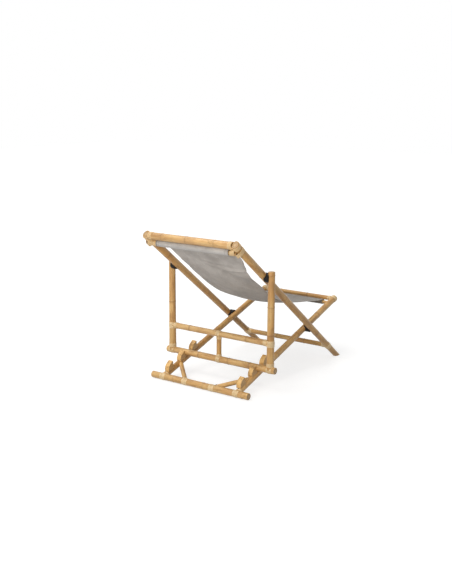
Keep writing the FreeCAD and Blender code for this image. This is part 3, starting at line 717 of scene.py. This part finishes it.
# %% Bind the joints
bound = []
for word, side in SIDES.items():
    rail = "back_rail_" + word
    post = "prop_post_" + word
    seat_rail = "seat_rail_" + word
    bound += [
        bind(
            "top_corner_binding_" + word, on(rail, 1.195, 0.023, RAIL_TOP),
            end_cuff("top_bar", side, 0.017, CORNER_CUFF), STEEP_SLANT, finish=amber_peel,
        ),
        bind(
            "stretcher_binding_" + word, on(rail, STRETCHER_PLACE, BAND, 0.0159),
            end_cuff("front_stretcher", side, 0.014, CUFF),
        ),
        bind(
            "front_corner_binding_" + word, on(seat_rail, 0.954, 0.024, 0.0165),
            end_cuff("seat_front_bar", side, 0.015, CUFF), SHALLOW_SLANT,
        ),
        bind(
            "middle_bar_binding_" + word, on(post, MIDDLE_BAR_PLACE, BAND, 0.0181),
            end_cuff("prop_middle_bar", side, 0.016, CUFF),
        ),
        bind(
            "rest_bar_binding_" + word, on("prop_rest_bar", REST_BAR_HALF + side * PROP_GAP, BAND),
            on(post, 0.0255, 0.019, 0.0185),
        ),
        bind(
            "floor_bar_binding_" + word, on("floor_bar", FLOOR_BAR_HALF + side * SEAT_GAP, BAND),
            on(seat_rail, 0.0205, 0.010, 0.0155), thin=True,
        ),
        bind(
            "brace_binding_" + word, on("floor_bar", FLOOR_BAR_HALF + side * BRACE_FOOT[side], BAND),
            on("seat_brace_" + word, 0.0225, 0.011), thin=True,
        ),
    ]
bound += [
    bind(
        "spindle_binding_lower", on("prop_rest_bar", REST_BAR_HALF + SPINDLE_ACROSS, SPINDLE_BAND),
        on("prop_spindle", 0.022, SPINDLE_CUFF), SPINDLE_SLANT,
    ),
    bind(
        "spindle_binding_upper", on("prop_middle_bar", PROP_GAP + SPINDLE_ACROSS, SPINDLE_BAND),
        on("prop_spindle", 0.112, SPINDLE_CUFF), SPINDLE_SLANT,
    ),
]
print("joints bound:", len(bound))

# %% [markdown]
# The top rod is lashed under the two back rails, in a notch. One part of the lashing goes round the rail and
# the rod together, so its outline is an egg: a ring whose lower half is pulled down over the rod. The other
# part is wound on the rod itself, in turns that climb towards the rail.

# %% Lash the top rod
TURN_PITCH = 0.0043
TURN_WIDTH = 0.0047
TURN_HALF = 0.0012
EGG_RADIUS = RAIL_TOP + 0.0006
EGG_ROWS = 6
EGG_STRIP = 0.0045          # width of one row
EGG_SLACK = 0.0008          # between the rod and the egg, at its lowest point
EGG_DRAWN_IN = 0.28         # share of its width that the egg loses at the rod
EGG_FOOT = -0.0151          # first row of the egg, before it is set on the rail
EGG_PLACE = 1.1665
ROD_TURNS = {-1: (0.2315, 8), 1: (0.2125, 12)}      # where they start on the rod, and how many
FIRST_TURN = 0.0128
CLIMB = 0.0075              # how much wider the last turn is than the first
CLIMB_TURNS = 8
CLIMB_UP = 0.004
LAYER = 0.0022              # from each turn to the one that lies under it


def egg(word):
    """The rows that hold the rod and the rail together."""
    rod_below = (TOP_ROD - FOOT).dot(BACK_UNDER)
    ring = strip_ring(EGG_RADIUS, EGG_STRIP, STRIP_HALF)
    for vertex in ring.data.vertices:
        if vertex.co.x > 0:
            share = vertex.co.x / EGG_RADIUS
            vertex.co.x += share * (rod_below + ROD_RADIUS + EGG_SLACK - RAIL_TOP)
            vertex.co.y *= 1 - EGG_DRAWN_IN * share * share
    side_by_side(ring, EGG_ROWS, TURN_PITCH)
    ring.data.transform(Matrix.Translation((0, 0, EGG_FOOT)))
    return set_on(ring, poles["back_rail_" + word]["start"], BACK, EGG_PLACE, BACK_UNDER)


def rod_lashing(word, side):
    """The egg and the turns on the rod, in place of one CAD binding."""
    pieces = [egg(word)]
    rod = poles["top_sling_rod"]
    first, turns = ROD_TURNS[side]
    for turn in range(turns):
        place = rod["length"] / 2 + side * (first + TURN_PITCH * turn)
        climb = max(0, turn - turns + CLIMB_TURNS) / CLIMB_TURNS
        wound = FIRST_TURN + CLIMB * climb
        lift = -BACK_UNDER * (wound - FIRST_TURN) + BACK * CLIMB_UP * climb
        for size in (wound, wound - LAYER):
            strip = strip_ring(size, TURN_WIDTH, TURN_HALF)
            pieces.append(set_on(strip, rod["start"] + lift, ACROSS, place, BACK_UNDER))
    whole = joined(pieces, "wound_top_rod_binding_" + word, amber_peel)
    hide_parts("top_rod_binding_" + word)
    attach(whole, "back_frame")
    print("turns on the rod,", word + ":", turns)


for word, side in SIDES.items():
    rod_lashing(word, side)


# %% [markdown]
# The sling is one length of canvas, sewn into a sleeve round the top rod and another round the front rod.
# Between them it hangs: nearly straight down the back, round a low belly, then almost level to the front.
# A simulated cloth would find its own shape. Here the shape is known from every side, so the sheet is a
# grid that is laid along a curve, row by row. First comes the curve, from rod to rod.

# %% The curve that the canvas hangs in
CLOTH = 0.0014
ROD_CLEARANCE = 0.0003
TOP_SLEEVE = 0.0152         # radius of the sleeve round the top rod
FRONT_SLEEVE = 0.0128
TOP_WRAP = ROD_RADIUS + ROD_CLEARANCE + CLOTH / 2
FRONT_WRAP = FRONT_ROD_RADIUS + ROD_CLEARANCE + CLOTH / 2
TOP_MIDDLE = TOP_ROD + BACK * (TOP_SLEEVE - TOP_WRAP)
FRONT_MIDDLE = FRONT_ROD + SEAT * (FRONT_SLEEVE - FRONT_WRAP)
LEAVE_TOP = TOP_MIDDLE - BACK_UNDER * TOP_SLEEVE
LEAVE_FRONT = FRONT_MIDDLE + SEAT_UP * FRONT_SLEEVE
BODY_ROWS = 230
# Share of the way from the front rod, and how far the cloth hangs below the straight line there
HANG = (
    (0.08, 0.028), (0.175, 0.053), (0.31, 0.091), (0.42, 0.115), (0.51, 0.122),
    (0.60, 0.111), (0.73, 0.082), (0.82, 0.048), (0.91, 0.013),
)


def soft_curve(points, parts=24):
    """Many points along a soft curve through the given ones."""
    ends = [points[0] * 2 - points[1]] + points + [points[-1] * 2 - points[-2]]
    dense = []
    for index in range(1, len(ends) - 2):
        a, b, c, d = ends[index - 1:index + 3]
        for part in range(parts):
            t = part / parts
            dense.append(
                0.5 * (
                    2 * b + (c - a) * t + (2 * a - 5 * b + 4 * c - d) * t * t
                    + (3 * b - a - 3 * c + d) * t ** 3
                )
            )
    return dense + [points[-1]]


def spread_evenly(dense, steps):
    """Points at equal distances along a curve, and the curve's length."""
    lengths = [0.0]
    for first, second in zip(dense, dense[1:]):
        lengths.append(lengths[-1] + (second - first).length)
    even = []
    index = 0
    for step in range(steps + 1):
        target = lengths[-1] * step / steps
        while index < len(dense) - 2 and lengths[index + 1] < target:
            index += 1
        room = lengths[index + 1] - lengths[index]
        share = (target - lengths[index]) / room if room else 0
        even.append(dense[index].lerp(dense[index + 1], share))
    return even, lengths[-1]


run = LEAVE_TOP - LEAVE_FRONT
hang_points = [LEAVE_FRONT.copy()]
for share, drop in HANG:
    hang_points.append(LEAVE_FRONT + run * share - Vector((0, 0, drop)))
hang_points.append(LEAVE_TOP.copy())
hang_path, hang_length = spread_evenly(soft_curve(hang_points), BODY_ROWS)
print("length of cloth between the rods:", round(hang_length, 3))

# %% [markdown]
# Each end goes on round its rod as an arc of most of a turn, and ends in a short hem that lies against the
# under side of the sheet, where it would be sewn.

# %% Sleeves and turned-in hems
SLEEVE_TURN = 292           # degrees
TOP_ARC_ROWS = 38
FRONT_ARC_ROWS = 34
HEM_STEPS = (3, 4, 5)       # rows of the sheet that the hem lies against, from the sleeve
HEM_GAP = CLOTH * 1.15


def round_rod(centre, radius, first, turn, steps):
    """An arc round a rod in the YZ plane, from one angle through a turn, both in degrees."""
    points = []
    for step in range(1, steps + 1):
        angle = math.radians(first + turn * step / steps)
        points.append(centre + Vector((0, math.cos(angle), math.sin(angle))) * radius)
    return points


def under_side(first, second):
    """Square to a stretch of the sheet, on its under side."""
    ahead = second - first
    return Vector((0, ahead.z, -ahead.y)).normalized()


top_angle = math.degrees(math.atan2(-BACK_UNDER.z, -BACK_UNDER.y))
front_angle = math.degrees(math.atan2(SEAT_UP.z, SEAT_UP.y))
top_arc = round_rod(TOP_MIDDLE, TOP_SLEEVE, top_angle, -SLEEVE_TURN, TOP_ARC_ROWS)
front_arc = round_rod(FRONT_MIDDLE, FRONT_SLEEVE, front_angle, SLEEVE_TURN, FRONT_ARC_ROWS)
under_top = under_side(hang_path[-6], hang_path[-1]) * HEM_GAP
under_front = under_side(hang_path[0], hang_path[5]) * HEM_GAP
top_hem = [hang_path[-1 - step] + under_top for step in HEM_STEPS]
front_hem = [hang_path[step] + under_front for step in HEM_STEPS]
rows = front_hem[::-1] + front_arc[::-1] + hang_path + top_arc + top_hem
FIRST_BODY = len(front_hem) + len(front_arc)
LAST_BODY = FIRST_BODY + BODY_ROWS
print("rows of cloth:", len(rows))

# %% [markdown]
# Seen from above the cloth is widest at its top hem and draws in to the seat. Its sides hang almost as the
# curve says and its middle lower, as a hammock does. The folds are long soft ridges: each has two ends on
# the cloth, a height and a width, and fades out towards its ends.

# %% Width, belly and folds
WIDTHS = (
    # share of the level distance from the front rod to the top rod, and half the width there
    (0.0, 0.190), (0.10, 0.189), (0.45, 0.186), (0.72, 0.1855), (0.785, 0.186), (0.835, 0.199),
    (0.88, 0.2105), (0.94, 0.2170), (1.0, 0.219),
)
FOLDS = (
    # from (share of length, share of width) to the same, height, width
    ((0.86, 0.10), (0.62, -0.98), 0.0040, 0.020),
    ((0.80, -0.30), (0.70, -1.00), -0.0050, 0.022),
    ((0.74, 0.30), (0.55, -0.60), 0.0030, 0.026),
    ((0.93, 0.92), (0.70, 0.35), 0.0030, 0.020),
    ((0.80, 0.98), (0.66, 0.20), -0.0030, 0.026),
    ((0.66, 0.95), (0.50, 0.15), 0.0025, 0.024),
    ((0.95, -0.90), (0.84, -0.40), 0.0030, 0.018),
    ((0.30, -0.95), (0.12, -0.30), 0.0020, 0.022),
    ((0.34, 0.90), (0.16, 0.25), -0.0020, 0.024),
    ((0.52, -0.20), (0.40, 0.70), 0.0020, 0.028),
    ((0.97, -0.45), (0.72, -0.20), 0.0022, 0.018),
    ((0.97, 0.40), (0.76, 0.55), 0.0022, 0.018),
    # the two sharp creases below the shoulder blades, and two more on the left side
    ((0.775, -0.98), (0.825, 0.15), -0.0080, 0.010),
    ((0.83, -0.60), (0.86, 0.30), -0.0048, 0.009),
    ((0.56, -0.95), (0.62, -0.45), -0.0060, 0.010),
    ((0.60, -0.95), (0.66, -0.55), 0.0050, 0.010),
)
FOLD_REACH = 0.2            # half width that the folds' shares of width refer to


def clamped(value):
    return min(1.0, max(0.0, value))


def eased(share):
    """From 0 to 1 with a soft start and a soft end."""
    return share * share * (3 - 2 * share)


def half_width(share):
    for (low, first), (high, second) in zip(WIDTHS, WIDTHS[1:]):
        if share <= high:
            return first + (second - first) * eased((share - low) / (high - low))
    return WIDTHS[-1][1]


def fold_height(length_at, across_at):
    total = 0.0
    for start, end, height, width in FOLDS:
        a = Vector((start[0] * hang_length, start[1] * FOLD_REACH))
        b = Vector((end[0] * hang_length, end[1] * FOLD_REACH))
        spot = Vector((length_at, across_at))
        line = b - a
        t = clamped((spot - a).dot(line) / line.length_squared)
        gap = (spot - a - line * t).length
        fade = math.sin(math.pi * clamped(0.12 + 0.80 * t))
        total += height * fade * math.exp(-(gap / width) ** 2)
    return total


# %% [markdown]
# The grid has one row for each point of the curve. Its points are sorted into rows first, and then each is
# put in its place. The map of the cloth is laid flat in metres, so the weave keeps its size everywhere.

# %% Lay the grid along the curve
COLUMNS = 96
MIDDLE_DIP = 0.0195         # how much lower the middle hangs than the sides
WAVER = 0.0016              # of the free edges
CURL = 0.0022               # of the free edges, upwards
CURLED_FROM = 0.93          # share of the width where the curl starts
SLEEVE_SHIFT = -0.010       # the top sleeve sits a little to the left on its rod
SHIFTED_FROM = 0.72         # share of the length where the cloth starts to follow it

nothing_selected()
bpy.ops.mesh.primitive_grid_add(x_subdivisions=COLUMNS, y_subdivisions=len(rows) - 1, size=1)
sling = bpy.context.object
sling.name = "canvas_sling"
sling.data.name = "canvas_sling"
order = sorted(
    range(len(sling.data.vertices)),
    key=lambda i: (round(sling.data.vertices[i].co.y, 5), sling.data.vertices[i].co.x),
)


def index_of(number, column):
    return order[number * (COLUMNS + 1) + column]


def across_share(column):
    """-1 at the left edge of the cloth and 1 at the right."""
    return 2 * column / COLUMNS - 1


def row_middle(number):
    """One row: how far up the hanging part it is, half its width, its shift and its upper side."""
    body = clamped((number - FIRST_BODY) / BODY_ROWS)
    level = (rows[number].y - LEAVE_FRONT.y) / (LEAVE_TOP.y - LEAVE_FRONT.y)
    half = half_width(clamped(level) if 0 < body < 1 else body)
    shift = SLEEVE_SHIFT * eased(clamped((body - SHIFTED_FROM) / (1 - SHIFTED_FROM)))
    ahead = rows[min(number + 1, len(rows) - 1)] - rows[max(number - 1, 0)]
    return body, half, shift, Vector((0, -ahead.z, ahead.y)).normalized()


chart = {}
walked = 0.0
for number, centre in enumerate(rows):
    if number:
        walked += (centre - rows[number - 1]).length
    body, half, shift, upper = row_middle(number)
    loose = math.sin(math.pi * body) if 0 < body < 1 else 0.0
    ease = min(1.0, loose * 2.2)
    for column in range(COLUMNS + 1):
        v = across_share(column)
        waver = WAVER * loose * math.sin(21 * body + 2.1 * v) * abs(v) ** 3
        x = v * half + waver + shift
        spot = at(x, centre)
        if loose:
            curl = max(0.0, abs(v) - CURLED_FROM) / (1 - CURLED_FROM)
            spot += Vector((0, 0, -MIDDLE_DIP * loose ** 0.8 * (1 - v * v)))
            spot += upper * (ease * fold_height(body * hang_length, x))
            spot += upper * (CURL * ease * curl * curl)
        vertex = sling.data.vertices[index_of(number, column)]
        vertex.co = spot
        chart[vertex.index] = (x, walked)
layer = sling.data.uv_layers.new(name="cloth")
for loop in sling.data.loops:
    layer.data[loop.index].uv = chart[loop.vertex_index]
print("cloth points:", len(sling.data.vertices), "whole length:", round(walked, 3))

# %% [markdown]
# The canvas is grey, a little warm, and plainly woven. Two waves at right angles make the threads, and noise
# drawn out along them makes the slubs. Lower on the back and towards the front it is darker and browner,
# partly wear where people sit and partly painted shade. The sleeve round the top rod is the palest part:
# painted light on its lower rows, in a cooler grey. Those places follow the cloth and not the room, so they
# are marks on its points, that the material reads as attributes.

# %% Canvas: threads and colour
MARKS = ("seam", "cross_seam", "wear_and_shade", "dark_line", "sleeve")
FRESH = [(0.36, (0.440, 0.408, 0.380)), (0.60, (0.640, 0.605, 0.570))]
# the next two colours are wear where people sit and painted shade, lower on the back and at the front
SAT_ON_AND_SHADED = [(0.36, (0.335, 0.300, 0.262)), (0.64, (0.460, 0.420, 0.375))]
FRONT_WEAR_AND_SHADE = (0.250, 0.222, 0.195)
# painted light on the sleeve's lower rows, in a cooler grey
SLEEVE_PAINTED_LIGHT_GREY = (0.640, 0.625, 0.610)
SLUB = (0.250, 0.228, 0.208)
BETWEEN_THREADS = (0.22, 0.20, 0.185)
STITCH = (0.60, 0.57, 0.53)
# painted shadow below the top sleeve and in its open end, and the colour of the darker seams
SHADOW_AND_SEAM_DARK = (0.17, 0.15, 0.135)
THREADS = 5200.0            # radians of the weave's wave in a metre
STITCHES = 1600.0           # the same for the stitches


def mark(tree, name):
    return add(tree, "Attribute", attribute_name=name).outputs["Fac"]


def wave(tree, distance, pace):
    return math_node(tree, "SINE", math_node(tree, "MULTIPLY", distance, pace))


def threads(tree, cloth, split):
    """The weave, and the thicker threads in it."""
    warp = wave(tree, split.outputs["X"], THREADS)
    weft = wave(tree, split.outputs["Y"], THREADS)
    weave = math_node(tree, "MULTIPLY", warp, weft)
    slub_x = noise(tree, stretched(tree, cloth, (900, 30, 1)), 1.0, 3.0)
    slub_y = noise(tree, stretched(tree, cloth, (30, 900, 1)), 1.0, 3.0)
    return weave, math_node(tree, "ADD", slub_x, slub_y)


def cloth_colour(tree, cloth, weave, slubs):
    """Fresh canvas, worn canvas with painted shade, and the sleeve's painted light, with the threads."""
    cloud = noise(tree, stretched(tree, cloth, (9, 9, 1)), 1.0, 4.0, 0.6)
    wear_and_shade = mark(tree, "wear_and_shade")
    colour = mix(tree, wear_and_shade, ramp(tree, cloud, FRESH), ramp(tree, cloud, SAT_ON_AND_SHADED))
    # darkest at the front: wear under the thighs, and painted shade
    colour = mix(tree, ramp(tree, wear_and_shade, [(0.90, 0.0), (1.0, 0.80)]), colour, FRONT_WEAR_AND_SHADE)
    # the sleeve's lower rows painted lighter: painted light, in a cooler grey
    colour = mix(tree, mark(tree, "sleeve"), colour, SLEEVE_PAINTED_LIGHT_GREY)
    thick = ramp(tree, math_node(tree, "MULTIPLY", slubs, 0.5), [(0.36, 0.32), (0.56, 0.0)])
    colour = mix(tree, thick, colour, SLUB)
    speck = ramp(tree, math_node(tree, "MULTIPLY_ADD", weave, 0.5), [(0.2, 0.18), (0.8, 0.0)])
    return mix(tree, speck, colour, BETWEEN_THREADS)


# %% [markdown]
# Rows of stitches follow the hems. Each is a narrow line where its mark is strong, broken up along its
# length by a wave. The dark line is painted shadow where the sheet comes out from behind the sleeve and
# inside the sleeve's open right end, and it also draws the seams at the sleeve's ends.


# %% Canvas: stitches, relief and the finish
def stitches(tree, split, colour, seam_line):
    """The colour with its stitches: down both sides, and across beside each sleeve."""
    cross_line = ramp(tree, mark(tree, "cross_seam"), [(0.55, 0.0), (0.85, 1.0)])
    for line, direction in ((seam_line, "Y"), (cross_line, "X")):
        dash = ramp(tree, wave(tree, split.outputs[direction], STITCHES), [(0.35, 0.0), (0.45, 1.0)])
        colour = mix(tree, math_node(tree, "MULTIPLY", line, dash), colour, STITCH)
    return colour


def canvas_finish():
    material, tree, shader = new_material(
        "grey_canvas", 0.86, Sheen_Weight=0.25, Sheen_Roughness=0.5, Specular_IOR_Level=0.2
    )
    cloth = add(tree, "UVMap", uv_map="cloth").outputs["UV"]
    split = add(tree, "SeparateXYZ", {0: cloth})
    weave, slubs = threads(tree, cloth, split)
    woven = cloth_colour(tree, cloth, weave, slubs)
    seam_line = ramp(tree, mark(tree, "seam"), [(0.80, 0.0), (0.93, 1.0)])
    stitched = stitches(tree, split, woven, seam_line)
    # the side seams are painted a little darker
    seam_darkening = math_node(tree, "MULTIPLY", seam_line, 0.25)
    # painted shadow below the top sleeve and in its open right end, with the sleeve's end seams
    dark_line = ramp(tree, mark(tree, "dark_line"), [(0.2, 0.0), (0.8, 0.80)])
    lined = mix(tree, math_node(tree, "MAXIMUM", seam_darkening, dark_line), stitched, SHADOW_AND_SEAM_DARK)
    tree.links.new(lined, shader.inputs["Base Color"])

    creased = noise(tree, stretched(tree, cloth, (22, 15, 1)), 1.0, 5.0, 0.65, 1.2)
    fine = math_node(tree, "MULTIPLY_ADD", weave, 0.20)
    tree.links.new(slubs, fine.node.inputs[2])
    small = add(tree, "Bump", {"Height": fine}, {"Strength": 0.35, "Distance": 0.0004})
    large = add(
        tree, "Bump", {"Height": creased, "Normal": small.outputs["Normal"]},
        {"Strength": 0.5, "Distance": 0.006},
    )
    tree.links.new(large.outputs["Normal"], shader.inputs["Normal"])
    return material


# %% [markdown]
# Now the marks are written on the points. All five attributes are made before any is filled, because
# making one moves the others in memory.

# %% Mark the cloth
SEAM_SHARE = 0.93           # share of the width where the side seams run
SEAM_FADE = 30              # how fast their mark fades on either side, per share of the width
SEAM_ROW = 4                # rows of the sheet from a sleeve to its cross seam
SEAM_ROW_FADE = 0.8         # how fast that mark fades, per row
END_SEAM_COLUMN = 4         # columns of the sleeve from its end to the seam there
END_SEAM = 0.48             # strength of the line there
OPEN_END_SHADOW = 0.9              # strength of the painted shadow in the sleeve's open right end
SHADOW_LINE_STRENGTH = 0.62        # of the painted shadow line beside the sleeve
SHADOW_LINE_FADE = 80              # how fast it fades on either side, per metre
SHADOW_LINE_LENGTH = 0.073         # of cloth behind the sleeve, before it comes out from under it
# how worn and painted in shade the sleeve is
SLEEVE_WEAR_AND_SHADE = 0.42
# the strength of the painted light on the sleeve's lower rows
SLEEVE_PAINTED_LIGHT = 0.85
SLEEVE_EDGE = LAST_BODY + 27       # the lowest row of the sleeve that is seen from behind
PALE_ROWS = 12              # rows over which the painted light on the sleeve grows


def wear_and_shade_at(along):
    """0 at the top of the back, up to 1 at the front: wear where the thighs lie, and painted shade."""
    if along > 1:
        return SLEEVE_WEAR_AND_SHADE
    return min(0.9, max(0.0, (0.84 - along) / 0.40)) + min(0.1, max(0.0, (0.36 - along) / 1.6))


def shadow_and_seam_line_at(number, column, along):
    """Painted shadow beside the sleeve and in its open right end, and the sleeve's end seams."""
    if number <= LAST_BODY:
        return max(0.0, SHADOW_LINE_STRENGTH - SHADOW_LINE_FADE * abs((1 - along) * hang_length - SHADOW_LINE_LENGTH))
    if column in (END_SEAM_COLUMN, COLUMNS - END_SEAM_COLUMN):
        return END_SEAM
    return OPEN_END_SHADOW if column >= COLUMNS - 1 else 0.0


def marks_at(number, column):
    """What is written on one point, in the order of MARKS."""
    along = (number - FIRST_BODY) / BODY_ROWS
    from_seam = min(abs(number - LAST_BODY + SEAM_ROW), abs(number - FIRST_BODY - SEAM_ROW))
    # painted light on the sleeve's lower rows, from nothing to full over PALE_ROWS
    paler = (number - SLEEVE_EDGE + 1) / PALE_ROWS + 1 if number > LAST_BODY else 0.0
    return (
        1 - min(1.0, abs(abs(across_share(column)) - SEAM_SHARE) * SEAM_FADE),
        max(0.0, 1 - from_seam * SEAM_ROW_FADE),
        wear_and_shade_at(along),
        shadow_and_seam_line_at(number, column, along),
        min(SLEEVE_PAINTED_LIGHT, max(0.0, paler)),
    )


for name in MARKS:
    sling.data.attributes.new(name, "FLOAT", "POINT")
for number in range(len(rows)):
    for column in range(COLUMNS + 1):
        for name, value in zip(MARKS, marks_at(number, column)):
            sling.data.attributes[name].data[index_of(number, column)].value = value
print("marks on the cloth:", ", ".join(MARKS))

# %% [markdown]
# Solidify gives the sheet its thickness, evenly on both sides. A shell may come out with its faces turned
# inwards, so they are turned out again, and half the area of the shell is the area of the sheet.

# %% Finish the sling
DRAWN_SHARE = 0.8           # the sheet is drawn a little thinner than CLOTH, clear of its own hems
sling.data.materials.append(canvas_finish())
nothing_selected()
sling.select_set(True)
bpy.context.view_layer.objects.active = sling
bpy.ops.object.shade_smooth()
thick = sling.modifiers.new("thickness", "SOLIDIFY")
thick.thickness = CLOTH * DRAWN_SHARE
thick.offset = 0.0
bpy.ops.object.modifier_apply(modifier=thick.name)
bm = bmesh.new()
bm.from_mesh(sling.data)
bmesh.ops.recalc_face_normals(bm, faces=bm.faces)
flat_area = sum(face.calc_area() for face in bm.faces) / 2
bm.to_mesh(sling.data)
bm.free()
print("flat area of the canvas:", round(flat_area, 3))
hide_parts("sling")
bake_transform(sling)

# %% [markdown]
# The studio is a plain floor under an even white world. The floor is grey to the light that falls on it,
# and glows to the camera, more with distance. So it looks almost white and still shows the chair's soft
# shadow.

# %% Floor
FLOOR_GREY = [(0.3, 0.40), (0.7, 0.44)]
GLOW_REACH = 8.0            # metres from the chair to the end of the ramp below
GLOW = [(0.08, 0.70), (0.45, 0.95)]


def seen_directly(tree):
    """1 for the rays that make the picture's white background, 0 for those that light the chair."""
    path = add(tree, "LightPath")
    camera_or_gloss = math_node(
        tree, "MAXIMUM", path.outputs["Is Camera Ray"], path.outputs["Is Glossy Ray"]
    )
    return math_node(tree, "MAXIMUM", camera_or_gloss, path.outputs["Is Transmission Ray"])


def floor_finish():
    material, tree, shader = new_material("pale_floor", 0.9, Specular_IOR_Level=0.1)
    spot = add(tree, "TexCoord").outputs["Object"]
    tone = ramp(tree, noise(tree, spot, 3.0), FLOOR_GREY)
    tree.links.new(tone, shader.inputs["Base Color"])
    out = add(tree, "VectorMath", {0: spot}, operation="LENGTH").outputs["Value"]
    paler = ramp(tree, math_node(tree, "DIVIDE", out, GLOW_REACH), GLOW)
    glow = math_node(tree, "MULTIPLY", seen_directly(tree), paler)
    tree.links.new(glow, shader.inputs["Emission Strength"])
    shader.inputs["Emission Color"].default_value = (1, 1, 1, 1)
    return material


nothing_selected()
bpy.ops.mesh.primitive_plane_add(size=30, location=(0, 0, 0))
floor = bpy.context.object
floor.name = "studio_floor"
floor.data.materials.append(floor_finish())
print("floor laid:", floor.name)

# %% [markdown]
# Large lamps give the soft shading of the photograph. The strongest stands to the left of the camera, one
# hangs overhead, and a weak, cooler one comes from the far left. The world fills the shadows evenly, and is
# brighter to the camera than to the chair, so that the background stays white.

# %% Lamps and world
MIDDLE_OF_CHAIR = Vector((0, 0, 0.35))
AMBIENT = 0.42              # brightness of the world to the chair; it is 1 to the camera


def lamp(name, place, size, watts, colour):
    """A round lamp that faces the middle of the chair."""
    data = bpy.data.lights.new(name, "AREA")
    data.shape = "DISK"
    data.size = size
    data.energy = watts
    data.color = colour
    body = bpy.data.objects.new(name, data)
    bpy.context.scene.collection.objects.link(body)
    body.location = place
    aim = MIDDLE_OF_CHAIR - Vector(place)
    body.rotation_euler = aim.to_track_quat("-Z", "Y").to_euler()
    return body


lamps = [
    lamp("key", (-0.9, 3.8, 1.45), 2.0, 76, (1.0, 0.98, 0.95)),
    lamp("overhead", (0.9, 0.9, 3.4), 2.2, 52, (1.0, 0.99, 0.97)),
    lamp("fill", (2.9, 0.6, 1.3), 2.4, 14, (0.97, 0.98, 1.0)),
]
world = bpy.data.worlds.new("studio")
bpy.context.scene.world = world
world.use_nodes = True
backdrop = world.node_tree.nodes["Background"]
backdrop.inputs["Color"].default_value = (1, 1, 1, 1)
brighter = math_node(world.node_tree, "MULTIPLY_ADD", seen_directly(world.node_tree), 1 - AMBIENT)
brighter.node.inputs[2].default_value = AMBIENT
world.node_tree.links.new(brighter, backdrop.inputs["Strength"])
print("lamps:", ", ".join(item.name for item in lamps))

# %% [markdown]
# The camera stands where the photographer stood: behind the chair and to one side, about 1.4 m above the
# floor and well back. Its place and its lens were worked out from points measured in the photograph, so
# the lens is written in the picture's pixels.

# %% Camera
PICTURE_WIDTH = 452         # pixels, as are the next three
FOCAL_LENGTH = 881.25
SHIFT_RIGHT = -31.3
SHIFT_UP = 8.55
SENSOR = 36.0               # millimetres
AIM = Vector((0, -0.07347, 0.350))
AZIMUTH = math.radians(215.141)
ELEVATION = math.radians(13.513)
DISTANCE = 4.6895

away = Vector((
    math.sin(AZIMUTH) * math.cos(ELEVATION), -math.cos(AZIMUTH) * math.cos(ELEVATION),
    math.sin(ELEVATION),
))
camera_data = bpy.data.cameras.new("camera")
camera = bpy.data.objects.new("camera", camera_data)
bpy.context.scene.collection.objects.link(camera)
camera.location = AIM + away * DISTANCE
camera.rotation_euler = (-away).to_track_quat("-Z", "Y").to_euler()
camera_data.sensor_fit = "HORIZONTAL"
camera_data.sensor_width = SENSOR
camera_data.lens = SENSOR * FOCAL_LENGTH / PICTURE_WIDTH
camera_data.shift_x = SHIFT_RIGHT / PICTURE_WIDTH
camera_data.shift_y = SHIFT_UP / PICTURE_WIDTH
bpy.context.scene.camera = camera
bpy.context.scene.view_settings.view_transform = "Standard"
print("camera at", tuple(round(value, 2) for value in camera.location))
